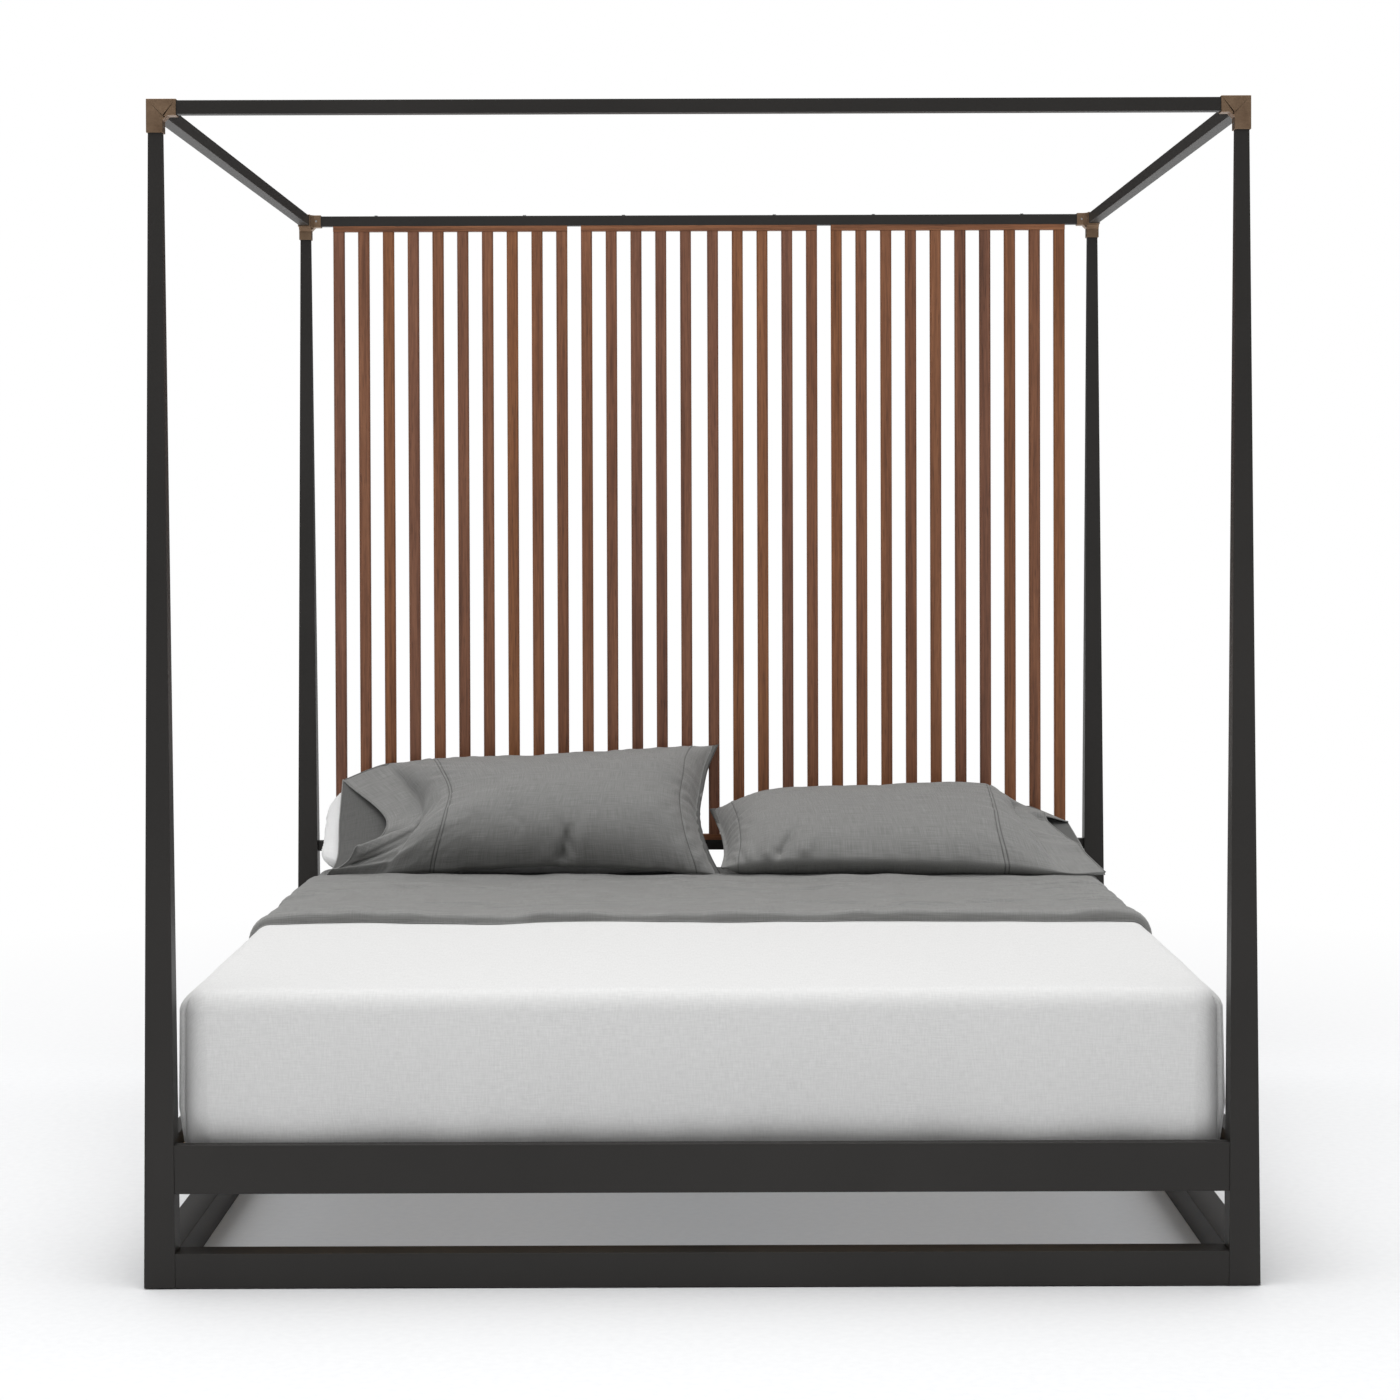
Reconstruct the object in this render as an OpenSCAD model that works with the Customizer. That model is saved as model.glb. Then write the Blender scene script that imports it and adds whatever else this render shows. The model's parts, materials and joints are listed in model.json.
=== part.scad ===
// Four poster canopy bed: tapered steel posts, bronze corner brackets, a slatted
// walnut headboard in three panels, a platform with a slat deck, a king mattress and its bedding.
// Millimetres. Origin: floor level, middle of the footprint. -Y is the foot end, +Y the headboard.

/* [Overall] */
// Width over the post feet
overall_w = 2060; // [2050:1:2080]
// Length over the post feet
overall_l = 2160; // [2150:1:2180]
// Height of the canopy
overall_h = 2194; // [2000:1:2300]

/* [Posts] */
// Side of a post at the floor
post_foot = 58; // [58:0.5:60]
// Side of a post at the canopy
post_top = 24; // [22:0.5:25]
// Wall of a post
post_wall = 2.5; // [2:0.1:3]
// Thickness of the nylon pad under a post
glide_t = 2; // [1:0.5:4]

/* [Canopy] */
// Side of the square canopy tube
rail_s = 25.4; // [24:0.1:26]
// Wall of the canopy tube
rail_wall = 1.6; // [1.2:0.1:2.5]
// Outer side of a bracket sleeve
sleeve_s = 30.4; // [30:0.1:34]
// Length of a bracket's level arms, over the corner
arm_l = 55; // [45:1:80]
// Length of a bracket's upright arm, over the corner
arm_down = 62; // [50:1:90]
// Leg of the small web in a bracket's inner corners
web = 9; // [6:0.5:12]

/* [Platform] */
// Underside of the platform rails
platform_z = 175.6; // [165:0.1:200]
// Height of the platform rails
platform_h = 90; // [80:1:100]
// Thickness of the platform rails
platform_t = 26; // [24:1:28]
// Top of the base rails
base_top = 65.5; // [60:0.5:75]
// Depth of the base rails
base_d = 56.5; // [50:0.5:56.5]
// Wall of the platform and base rails
tube_wall = 2; // [1.5:0.1:3]

/* [Deck] */
// Top of the slat deck
deck_z = 245; // [235:1:250]
// Number of deck slats
deck_count = 13; // [9:1:15]
// Width of a deck slat
deck_w = 90; // [60:1:100]
// Thickness of a deck slat
deck_t = 18; // [15:1:22]
// Side of the square centre beam
beam_s = 40; // [35:1:44]

/* [Headboard] */
// Underside of the lower crossbar
crossbar_z = 575.6; // [560:0.1:650]
// Slats in one side half of the headboard
half_slats = 15; // [15:1:15]
// Slats of the middle panel in one half
middle_half = 5; // [3:1:7]
// Width of a headboard slat
slat_w = 28; // [24:1:32]
// Thickness of a headboard slat
slat_t = 18; // [16:1:20]
// Distance from slat to slat
slat_pitch = 63; // [60:0.5:63]
// Middle of the first slat, from the centre line
slat_first = 34.4; // [30:0.1:36]
// Height of a panel's end rails
panel_rail = 14; // [12:1:20]
// Depth of a panel's end rails
panel_d = 20; // [20:1:24]

/* [Bedding] */
// Width of the mattress
mattress_w = 1930; // [1920:1:1935]
// Length of the mattress
mattress_l = 2032; // [2000:1:2035]
// Height of the mattress
mattress_h = 294; // [250:1:300]
// Radius of the mattress edges
mattress_r = 32; // [20:1:40]
// Thickness of the fitted sheet
fitted_t = 1.2; // [1:0.1:2]
// Thickness of the coverlet
coverlet_t = 3; // [2:0.1:4]
// Thickness of the folded top sheet
sheet_t = 1.6; // [1:0.1:3]
// Place of the top sheet's front hem
sheet_front = -112; // [-200:1:0]
// Place of the top sheet's fold
sheet_back = 700; // [650:1:700]

/* [Hidden] */
$fn = 48;

eps = 0.01;
post_x = overall_w / 2 - post_foot / 2;
post_y = overall_l / 2 - post_foot / 2;
foot_plate = 4;
glide_pad_r = 22;
glide_stem_r = 4;
glide_stem = 14;

// Corner brackets and canopy tubes
sleeve_z = overall_h - sleeve_s / 2;
sleeve_gap = 0.1;
post_end = sleeve_z - sleeve_s / 2 - 0.6;
rail_half_x = post_x - sleeve_s / 2 - 0.3;
rail_half_y = post_y - sleeve_s / 2 - 0.3;
set_screw_r = 2.5;
set_screw_in = 12;
socket_r = 1.5;
relief_r = 1.6;
relief_in = 2.5;

// Hooks welded to the ends of the rails, which drop into slots in the posts
hook_t = 3;
hook_reach = 6.5;
hook_lip = 3.3;
slot_slack = 0.3;

// Platform, deck and centre support
side_rail_x = 998;
end_rail_y = 1064;
rail_inner_x = side_rail_x - platform_t / 2;
rail_inner_y = end_rail_y - platform_t / 2;
deck_under = deck_z - deck_t;
deck_half = rail_inner_x - 7;
deck_pitch = 160;
ledge_w = 30;
ledge_t = 3;
ledge_half = 1016;
plate = 4;
cheek = 3;
hanger_reach = 40;
hanger_screw_x = 29;
hanger_screw_z = deck_under - beam_s / 2;
beam_under = deck_under - beam_s;
leg_places = [-200, 300, 800];
leg_r = 16;
leg_end = 14;
leg_screw_x = 23;
nut_h = 14;
stud_r = 5;
stud_top = 52;
foot_r = 25;
foot_h = 8;

// Headboard panels
panel_y = post_y - 2.7;
crossbar_top = crossbar_z + rail_s;
canopy_under = sleeve_z - rail_s / 2;
slat_low = crossbar_top + panel_rail;
slat_high = canopy_under - panel_rail;
slat_chamfer = 3;
tenon = 6;
tenon_w = 14;
tenon_t = 8;
screw_r = 2;
screw_head_r = 4;
screw_head = 2.4;
screw_bite = 11;
middle_edge = slat_first + (middle_half - 1) * slat_pitch + slat_w / 2;
side_start = slat_first + middle_half * slat_pitch - slat_w / 2;
side_end = slat_first + (half_slats - 1) * slat_pitch + slat_w / 2;

// Bedding
bed_low = deck_z + 0.2;
bed_front = -1042.8;
bed_top = bed_low + mattress_h;
sheet_low = bed_low + 17;
plan_r = 55;
rest_z = bed_top + fitted_t + 0.4;
pillow_tilt = 41;
pillow_foot_y = sheet_back + 6;

STEEL = [0.17, 0.16, 0.155];
BRONZE = [0.42, 0.35, 0.27];
WALNUT = [0.44, 0.29, 0.22];
PINE = [0.78, 0.64, 0.45];
ZINC = [0.7, 0.71, 0.72];
NYLON = [0.12, 0.12, 0.12];
LINEN = [0.91, 0.91, 0.9];
GRAY = [0.5, 0.5, 0.49];

// Half the side of a post at height z
function post_half(z) = (post_foot + (post_top - post_foot) * z / overall_h) / 2;

// Centres of the slats of one panel: -1 left, 0 middle, 1 right
function half_row(first, last) = [for (k = [first:last]) slat_first + k * slat_pitch];
function panel_slats(side) =
    side == 0
        ? concat([for (x = half_row(0, middle_half - 1)) -x], half_row(0, middle_half - 1))
        : [for (x = half_row(middle_half, half_slats - 1)) side * x];
function panel_from(side) = side == 0 ? -middle_edge : side < 0 ? -side_end : side_start;
function panel_to(side) = side == 0 ? middle_edge : side < 0 ? -side_start : side_end;
function panel_screw_x(side) =
    [for (k = [0, 1]) let (inset = 1.5 * slat_pitch + slat_w / 2)
        k == 0 ? panel_from(side) + inset : panel_to(side) - inset];

module box(from, to) translate(from) cube(to - from);

// Draws a shape made for the right rear corner at another corner
module corner(side, end)
    mirror([side < 0 ? 1 : 0, 0, 0]) mirror([0, end < 0 ? 1 : 0, 0]) children();

module rounded_rect(w, h, r) {
    square([w - 2 * r, h], center = true);
    square([w, h - 2 * r], center = true);
    for (x = [-1, 1], y = [-1, 1])
        translate([x * (w / 2 - r), y * (h / 2 - r)]) circle(r);
}

// ---- posts -------------------------------------------------------------------

// Square column that tapers on all four faces, smaller by inset on each side
module taper_column(low, high, inset) {
    outline = [
        [-post_half(low) + inset, low], [post_half(low) - inset, low],
        [post_half(high) - inset, high], [-post_half(high) + inset, high]
    ];
    intersection() {
        rotate([90, 0, 0]) linear_extrude(2 * post_foot, center = true) polygon(outline);
        rotate([90, 0, 90]) linear_extrude(2 * post_foot, center = true) polygon(outline);
    }
}

module post_shape() translate([post_x, post_y, 0]) taper_column(0, overall_h, 0);

// Hook on the end of a rail that runs to the post along +X: low is the underside of its tab
module hook(low, tab, drop) {
    face = post_x - post_half(low);
    box([face - 3, -hook_t / 2, low], [face + hook_reach, hook_t / 2, low + tab]);
    box([face + hook_lip, -hook_t / 2, low - drop], [face + hook_reach, hook_t / 2, low + eps]);
}

module hook_slot(low, tab, drop) {
    face = post_x - post_half(low);
    box([face - 5, -hook_t / 2 - slot_slack, low - slot_slack],
        [face + post_wall + 2, hook_t / 2 + slot_slack, low + tab + drop + slot_slack]);
}

// Heights, tab and drop of the hooks of each kind of rail
platform_hooks = [for (z = [platform_z + 14, platform_z + 58]) [z, 12, 8]];
base_hooks = [for (z = [14, 40]) [z, 12, 8]];
crossbar_hooks = [[crossbar_z + 8, 7, 6]];

// Turns a shape made along X at the right post so that it runs along Y
module along_y() translate([0, post_y - post_x, 0]) mirror([1, -1, 0]) children();

module post(side, end) {
    color(STEEL) corner(side, end) difference() {
        translate([post_x, post_y, 0]) difference() {
            taper_column(glide_t, post_end, 0);
            taper_column(glide_t + foot_plate, post_end + 1, post_wall);
            cylinder(h = 20, r = glide_stem_r + 0.1, center = true);
        }
        translate([0, end_rail_y, 0])
            for (h = platform_hooks) hook_slot(h[0], h[1], h[2]);
        translate([0, post_y, 0]) for (h = base_hooks) hook_slot(h[0], h[1], h[2]);
        translate([side_rail_x, 0, 0]) along_y()
            for (h = platform_hooks) hook_slot(h[0], h[1], h[2]);
        translate([post_x, 0, 0]) along_y() for (h = base_hooks) hook_slot(h[0], h[1], h[2]);
        if (end > 0)
            translate([0, post_y, 0]) for (h = crossbar_hooks) hook_slot(h[0], h[1], h[2]);
    }
}

module post_glides() {
    color(NYLON) for (side = [-1, 1], end = [-1, 1]) translate([side * post_x, end * post_y, 0]) {
        cylinder(h = glide_t, r = glide_pad_r);
        cylinder(h = glide_stem + glide_t, r = glide_stem_r);
    }
}

// ---- canopy ------------------------------------------------------------------

// One web between two arms, drawn in the plane of X and Z; the others are turned copies
module corner_web() {
    translate([-sleeve_s / 2, sleeve_s / 2, -sleeve_s / 2]) rotate([90, 0, 0])
        linear_extrude(sleeve_s) polygon([[0, 0], [-web, 0], [0, -web]]);
}

module web_relief() {
    translate([-sleeve_s / 2 - relief_in, 0, -sleeve_s / 2 - relief_in])
        rotate([90, 0, 0]) cylinder(h = 2 * sleeve_s, r = relief_r, center = true);
}

// The web between X and Z, and its turned copies between Y and Z and between X and Y
module three_ways() {
    children();
    mirror([1, -1, 0]) children();
    mirror([0, 1, -1]) children();
}

// Places of a bracket's three set screws, each with its axis along +Z and its head at 0
module at_set_screws() {
    translate([post_x, post_y, sleeve_z]) {
        translate([-arm_l + sleeve_s / 2 + set_screw_in, -sleeve_s / 2, 0]) rotate([-90, 0, 0]) children();
        translate([-sleeve_s / 2, -arm_l + sleeve_s / 2 + set_screw_in, 0]) rotate([0, 90, 0]) children();
        translate([-sleeve_s / 2, 0, -arm_down + sleeve_s / 2 + set_screw_in]) rotate([0, 90, 0]) children();
    }
}

module bracket(side, end) {
    inner = rail_s + 2 * sleeve_gap;
    color(BRONZE) corner(side, end) difference() {
        union() {
            sleeve_block();
            translate([post_x, post_y, sleeve_z]) three_ways() corner_web();
        }
        sleeve_pockets(inner);
        translate([post_x, post_y, sleeve_z]) three_ways() web_relief();
        at_set_screws() translate([0, 0, -1]) cylinder(h = 6, r = set_screw_r);
    }
}

// The three arms share a solid cube at the corner
module sleeve_block() {
    h = sleeve_s / 2;
    translate([post_x, post_y, sleeve_z]) {
        box([h - arm_l, -h, -h], [h, h, h]);
        box([-h, h - arm_l, -h], [h, h, h]);
        box([-h, -h, h - arm_down], [h, h, h]);
    }
}

module sleeve_pockets(s) {
    h = sleeve_s / 2;
    translate([post_x, post_y, sleeve_z]) {
        box([h - arm_l - 1, -s / 2, -s / 2], [-h, s / 2, s / 2]);
        box([-s / 2, h - arm_l - 1, -s / 2], [s / 2, -h, s / 2]);
        box([-s / 2, -s / 2, h - arm_down - 1], [s / 2, s / 2, -h]);
    }
}

module bracket_set_screws() {
    length = (sleeve_s - rail_s) / 2;
    color(ZINC) for (side = [-1, 1], end = [-1, 1]) corner(side, end) at_set_screws() difference() {
        cylinder(h = length, r = set_screw_r);
        translate([0, 0, -eps]) cylinder(h = 1.5, r = socket_r, $fn = 6);
    }
}

// Square tube along X, closed or open at its ends
module square_tube(half, w, h, wall, cap) difference() {
    cube([2 * half, w, h], center = true);
    cube([2 * (half - cap) + (cap == 0 ? 2 : 0), w - 2 * wall, h - 2 * wall], center = true);
}

module canopy_rail_front() {
    color(STEEL) translate([0, -post_y, sleeve_z]) square_tube(rail_half_x, rail_s, rail_s, rail_wall, 0);
}

module canopy_rail_rear() {
    color(STEEL) difference() {
        translate([0, post_y, sleeve_z]) square_tube(rail_half_x, rail_s, rail_s, rail_wall, 0);
        for (side = [-1, 0, 1], x = panel_screw_x(side))
            translate([x, panel_y, sleeve_z]) cylinder(h = 2 * rail_s, r = screw_r + 0.2, center = true);
    }
}

module canopy_rail_side(side) {
    color(STEEL) translate([side * post_x, 0, sleeve_z]) rotate([0, 0, 90])
        square_tube(rail_half_y, rail_s, rail_s, rail_wall, 0);
}

// ---- platform and base -------------------------------------------------------

// Tube between two posts along X at y, cut to the slope of the posts, with its hooks
module end_tube(y, low, high, depth, hooks) {
    half = post_x - post_half(low);
    difference() {
        translate([0, y, (low + high) / 2]) cube([2 * post_x, depth, high - low], center = true);
        translate([0, y, (low + high) / 2])
            cube([2 * half - 8, depth - 2 * tube_wall, high - low - 2 * tube_wall], center = true);
        for (side = [-1, 1]) corner(side, y) post_shape();
    }
    for (side = [-1, 1]) mirror([side < 0 ? 1 : 0, 0, 0]) translate([0, y, 0])
        for (h = hooks) hook(h[0], h[1], h[2]);
}

// The same along Y at x
module side_tube(x, low, high, depth, hooks) {
    half = post_y - post_half(low);
    difference() {
        translate([x, 0, (low + high) / 2]) cube([depth, 2 * post_y, high - low], center = true);
        translate([x, 0, (low + high) / 2])
            cube([depth - 2 * tube_wall, 2 * half - 8, high - low - 2 * tube_wall], center = true);
        for (end = [-1, 1]) corner(x, end) post_shape();
    }
    for (end = [-1, 1]) mirror([0, end < 0 ? 1 : 0, 0]) translate([x, 0, 0]) along_y()
        for (h = hooks) hook(h[0], h[1], h[2]);
}

module platform_rail_end(end) {
    color(STEEL) difference() {
        end_tube(end * end_rail_y, platform_z, platform_z + platform_h, platform_t, platform_hooks);
        for (x = [-hanger_screw_x, hanger_screw_x])
            translate([x, end * rail_inner_y, hanger_screw_z]) rotate([90, 0, 0])
                cylinder(h = 16, r = screw_r, center = true);
    }
}

module platform_rail_side(side) {
    color(STEEL) side_tube(side * side_rail_x, platform_z, platform_z + platform_h, platform_t, platform_hooks);
}

module base_rail_end(end) {
    color(STEEL) end_tube(end * post_y, glide_t, base_top, base_d, base_hooks);
}

module base_rail_side(side) {
    color(STEEL) side_tube(side * post_x, glide_t, base_top, base_d, base_hooks);
}

// ---- deck --------------------------------------------------------------------

module at_slat_screws() {
    for (side = [-1, 1], k = [0:deck_count - 1])
        translate([side * (rail_inner_x - ledge_w / 2), slat_place(k), 0]) children();
}

function slat_place(k) = (k - (deck_count - 1) / 2) * deck_pitch;

module slat_ledge(side) {
    low = deck_under - ledge_w;
    color(STEEL) difference() {
        corner(side, 1) union() {
            box([rail_inner_x - ledge_w, -ledge_half, deck_under - ledge_t],
                [rail_inner_x, ledge_half, deck_under]);
            box([rail_inner_x - ledge_t, -ledge_half, low], [rail_inner_x, ledge_half, deck_under]);
        }
        at_slat_screws() translate([0, 0, deck_under]) cylinder(h = 20, r = screw_r, center = true);
    }
}

module deck_slats() {
    color(PINE) difference() {
        for (k = [0:deck_count - 1]) translate([0, slat_place(k), deck_z - deck_t / 2])
            cube([2 * deck_half, deck_w, deck_t], center = true);
        at_slat_screws() {
            translate([0, 0, deck_z]) cylinder(h = 3 * deck_t, r = screw_r, center = true);
            translate([0, 0, deck_z - screw_head - 0.4]) cylinder(h = 10, r = screw_head_r + 0.2);
        }
    }
}

module slat_screws() {
    color(ZINC) at_slat_screws() {
        translate([0, 0, deck_z - 0.4 - screw_head]) cylinder(h = screw_head, r = screw_head_r);
        translate([0, 0, deck_under - ledge_t - 2])
            cylinder(h = deck_t + ledge_t, r = screw_r);
    }
}

module centre_beam() {
    color(STEEL) difference() {
        translate([0, 0, deck_under - beam_s / 2]) rotate([0, 0, 90])
            square_tube(rail_inner_y - plate - 0.5, beam_s, beam_s, tube_wall, 0);
        for (y = leg_places, s = [-1, 1])
            translate([0, y + s * leg_screw_x, beam_under]) cylinder(h = 10, r = screw_r, center = true);
    }
}

module beam_hanger(end) {
    half = beam_s / 2 + cheek + 0.3;
    back = rail_inner_y;
    color(ZINC) corner(1, end) difference() {
        union() {
            box([-hanger_screw_x - 8, back - plate, beam_under - plate],
                [hanger_screw_x + 8, back, deck_under - plate]);
            box([-half, back - hanger_reach, beam_under - plate], [half, back, beam_under]);
            for (s = [-1, 1]) mirror([s < 0 ? 1 : 0, 0, 0])
                box([half - cheek, back - hanger_reach, beam_under - plate], [half, back, deck_under - plate]);
        }
        for (x = [-hanger_screw_x, hanger_screw_x]) translate([x, back, hanger_screw_z])
            rotate([90, 0, 0]) cylinder(h = 20, r = screw_r + 0.2, center = true);
    }
}

module hanger_screws() {
    color(ZINC) for (end = [-1, 1], x = [-hanger_screw_x, hanger_screw_x])
        corner(1, end) translate([x, rail_inner_y - plate, hanger_screw_z]) rotate([90, 0, 0]) {
            cylinder(h = screw_head, r = screw_head_r);
            translate([0, 0, -plate - 4]) cylinder(h = plate + 5, r = screw_r);
        }
}

// Tube with a flange under the beam and a threaded plug at its lower end
module support_leg(k) {
    color(STEEL) translate([0, leg_places[k], 0]) difference() {
        union() {
            translate([0, 0, leg_end]) cylinder(h = beam_under - leg_end, r = leg_r);
            translate([0, 0, beam_under - plate / 2]) cube([beam_s, 64, plate], center = true);
        }
        translate([0, 0, leg_end + nut_h]) cylinder(h = beam_under - leg_end - nut_h - plate, r = leg_r - tube_wall);
        cylinder(h = 2 * leg_end + 2 * nut_h, r = stud_r + 0.1);
        for (s = [-1, 1]) translate([0, s * leg_screw_x, beam_under])
            cylinder(h = 20, r = screw_r + 0.2, center = true);
    }
}

module leg_screws() {
    color(ZINC) for (y = leg_places, s = [-1, 1])
        translate([0, y + s * leg_screw_x, beam_under - plate - screw_head]) {
            cylinder(h = screw_head, r = screw_head_r);
            cylinder(h = screw_head + plate + 5, r = screw_r);
        }
}

module levelling_foot(k) {
    color(NYLON) translate([0, leg_places[k], 0]) {
        cylinder(h = foot_h, r = foot_r);
        cylinder(h = stud_top, r = stud_r);
    }
}

// ---- headboard ---------------------------------------------------------------

module headboard_crossbar() {
    middle = crossbar_z + rail_s / 2;
    color(STEEL) difference() {
        union() {
            difference() {
                translate([0, post_y, middle]) cube([2 * post_x, rail_s, rail_s], center = true);
                for (side = [-1, 1]) corner(side, 1) post_shape();
                translate([0, post_y, middle])
                    cube([2 * post_x - 80, rail_s - 2 * rail_wall, rail_s - 2 * rail_wall], center = true);
            }
            for (side = [-1, 1]) mirror([side < 0 ? 1 : 0, 0, 0]) translate([0, post_y, 0])
                for (h = crossbar_hooks) hook(h[0], h[1], h[2]);
        }
        for (side = [-1, 0, 1], x = panel_screw_x(side))
            translate([x, panel_y, middle]) cylinder(h = 2 * rail_s, r = screw_r + 0.2, center = true);
    }
}

// End rail of a panel from low to low + panel_rail, with a mortise for each slat at height mouth
module panel_end_rail(side, low, mouth, dir) {
    color(WALNUT) difference() {
        box([panel_from(side), panel_y - panel_d / 2, low],
            [panel_to(side), panel_y + panel_d / 2, low + panel_rail]);
        for (x = panel_slats(side)) translate([x, panel_y, mouth + dir * tenon / 2])
            cube([tenon_w, tenon_t, tenon + eps], center = true);
        for (x = panel_screw_x(side)) translate([x, panel_y, mouth + dir * panel_rail])
            cylinder(h = 2 * screw_bite, r = screw_r, center = true);
    }
}

module panel_top_rail(side) panel_end_rail(side, slat_high, slat_high, 1);
module panel_bottom_rail(side) panel_end_rail(side, crossbar_top, slat_low, -1);

// Slat section: a bar whose front edges are cut off
module slat_section() {
    w = slat_w / 2;
    t = slat_t / 2;
    polygon([
        [-w, t], [-w, slat_chamfer - t], [slat_chamfer - w, -t],
        [w - slat_chamfer, -t], [w, slat_chamfer - t], [w, t]
    ]);
}

module panel_slat_group(side) {
    color(WALNUT) for (x = panel_slats(side)) translate([x, panel_y, 0]) {
        translate([0, 0, slat_low]) linear_extrude(slat_high - slat_low) slat_section();
        translate([0, 0, (slat_low + slat_high) / 2])
            cube([tenon_w, tenon_t, slat_high - slat_low + 2 * tenon], center = true);
    }
}

module panel_screws() {
    color(ZINC) for (side = [-1, 0, 1], x = panel_screw_x(side)) translate([x, panel_y, 0]) {
        translate([0, 0, crossbar_z - screw_head]) cylinder(h = screw_head, r = screw_head_r);
        translate([0, 0, crossbar_z - screw_head])
            cylinder(h = screw_head + rail_s + screw_bite - eps, r = screw_r);
        translate([0, 0, sleeve_z + rail_s / 2]) cylinder(h = screw_head, r = screw_head_r);
        translate([0, 0, canopy_under - screw_bite + eps])
            cylinder(h = screw_head + rail_s + screw_bite - eps, r = screw_r);
    }
}

// ---- bedding -----------------------------------------------------------------

// Mattress outline grown by t on every side but the underside
module mattress_form(t) {
    w = mattress_w + 2 * t;
    l = mattress_l + 2 * t;
    h = mattress_h + t;
    r = mattress_r + t;
    translate([0, bed_front + mattress_l / 2, bed_low + h / 2]) intersection() {
        linear_extrude(h + 1, center = true) rounded_rect(w, l, plan_r + t);
        rotate([90, 0, 0]) linear_extrude(l + 1, center = true) rounded_rect(w, h, r);
        rotate([90, 0, 90]) linear_extrude(w + 1, center = true) rounded_rect(l, h, r);
    }
}

// Layer of cloth over the mattress, between two growths, from one end to the other
module cloth_layer(inside, outside, front, back) intersection() {
    difference() {
        mattress_form(outside);
        mattress_form(inside);
    }
    box([-overall_w, front, sheet_low], [overall_w, back, overall_h]);
}

module mattress() color(LINEN) mattress_form(0);

module fitted_sheet() color(GRAY) cloth_layer(0, fitted_t, -overall_l, overall_l);

module coverlet() color(LINEN) cloth_layer(fitted_t, fitted_t + coverlet_t, -overall_l, sheet_back);

module top_sheet() color(GRAY)
    cloth_layer(fitted_t + coverlet_t, fitted_t + coverlet_t + sheet_t, sheet_front, sheet_back);

// Pillow: two crowned faces on an outline whose sides pull in between the corners
pull_in = 0.05;
cells_x = 14;
cells_y = 10;

function crown(u, v) = pow(max(0, 1 - pow(abs(u), 3)), 0.6) * pow(max(0, 1 - v * v), 0.6);
function pillow_point(i, j, w, d, t) =
    let (u = 2 * i / cells_x - 1, v = 2 * j / cells_y - 1)
    [
        w / 2 * u * (1 - pull_in * (1 - v * v)),
        d / 2 * v * (1 - pull_in * (1 - u * u)),
        t * crown(u, v)
    ];
function top_index(i, j) = i * (cells_y + 1) + j;
function low_index(i, j) =
    i == 0 || j == 0 || i == cells_x || j == cells_y
        ? top_index(i, j)
        : (cells_x + 1) * (cells_y + 1) + (i - 1) * (cells_y - 1) + j - 1;

// Two triangles of a cell, whose shared edge points away from the nearest corner
function cell_triangles(i, j) =
    (i < cells_x / 2) == (j < cells_y / 2)
        ? [[[i, j], [i, j + 1], [i + 1, j + 1]], [[i, j], [i + 1, j + 1], [i + 1, j]]]
        : [[[i, j], [i, j + 1], [i + 1, j]], [[i + 1, j], [i, j + 1], [i + 1, j + 1]]];

module pillow_form(w, d, over, under) {
    points = concat(
        [for (i = [0:cells_x], j = [0:cells_y]) pillow_point(i, j, w, d, over)],
        [for (i = [1:cells_x - 1], j = [1:cells_y - 1]) pillow_point(i, j, w, d, -under)]
    );
    cells = [for (i = [0:cells_x - 1], j = [0:cells_y - 1]) each cell_triangles(i, j)];
    upper = [for (t = cells) [for (p = t) top_index(p[0], p[1])]];
    lower = [for (t = cells) [for (k = [2, 1, 0]) low_index(t[k][0], t[k][1])]];
    polyhedron(points, concat(upper, lower));
}

// Leans on the white pillow, with its lower edge on the fitted sheet
pillow_d = 420;
module pillow_left() {
    middle_y = pillow_foot_y + cos(pillow_tilt) * pillow_d / 2;
    middle_z = rest_z + 6 + sin(pillow_tilt) * pillow_d / 2;
    color(GRAY) translate([-421, middle_y, middle_z]) rotate([pillow_tilt, 0, 0])
        pillow_form(938, pillow_d, 135, 12);
}

// Lies a little raised at the back
module pillow_right() {
    color(GRAY) translate([506, 826, rest_z + 96]) rotate([14, 0, 0]) pillow_form(888, 405, 112, 85);
}

// Wedge that is left of a plump pillow under the one that leans on it
module pillow_white() {
    ends = [-946, 30];
    balls = [[790, 22, 22], [984, 46, 46], [988, 178, 38]];
    color(LINEN) hull() for (b = balls, k = [0, 1])
        translate([ends[k] + (1 - 2 * k) * b[2], b[0], rest_z + b[1]]) sphere(b[2], $fn = 24);
}

post(-1, -1);  // post_front_left
post(1, -1);  // post_front_right
post(-1, 1);  // post_rear_left
post(1, 1);  // post_rear_right
post_glides();
bracket(-1, -1);  // bracket_front_left
bracket(1, -1);  // bracket_front_right
bracket(-1, 1);  // bracket_rear_left
bracket(1, 1);  // bracket_rear_right
bracket_set_screws();
canopy_rail_front();
canopy_rail_rear();
canopy_rail_side(-1);  // canopy_rail_left
canopy_rail_side(1);  // canopy_rail_right
platform_rail_end(-1);  // platform_rail_front
platform_rail_end(1);  // platform_rail_rear
platform_rail_side(-1);  // platform_rail_left
platform_rail_side(1);  // platform_rail_right
base_rail_end(-1);  // base_rail_front
base_rail_end(1);  // base_rail_rear
base_rail_side(-1);  // base_rail_left
base_rail_side(1);  // base_rail_right
headboard_crossbar();
panel_top_rail(-1);  // panel_left_top_rail
panel_top_rail(0);  // panel_middle_top_rail
panel_top_rail(1);  // panel_right_top_rail
panel_slat_group(-1);  // panel_left_slats
panel_slat_group(0);  // panel_middle_slats
panel_slat_group(1);  // panel_right_slats
panel_bottom_rail(-1);  // panel_left_bottom_rail
panel_bottom_rail(0);  // panel_middle_bottom_rail
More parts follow.
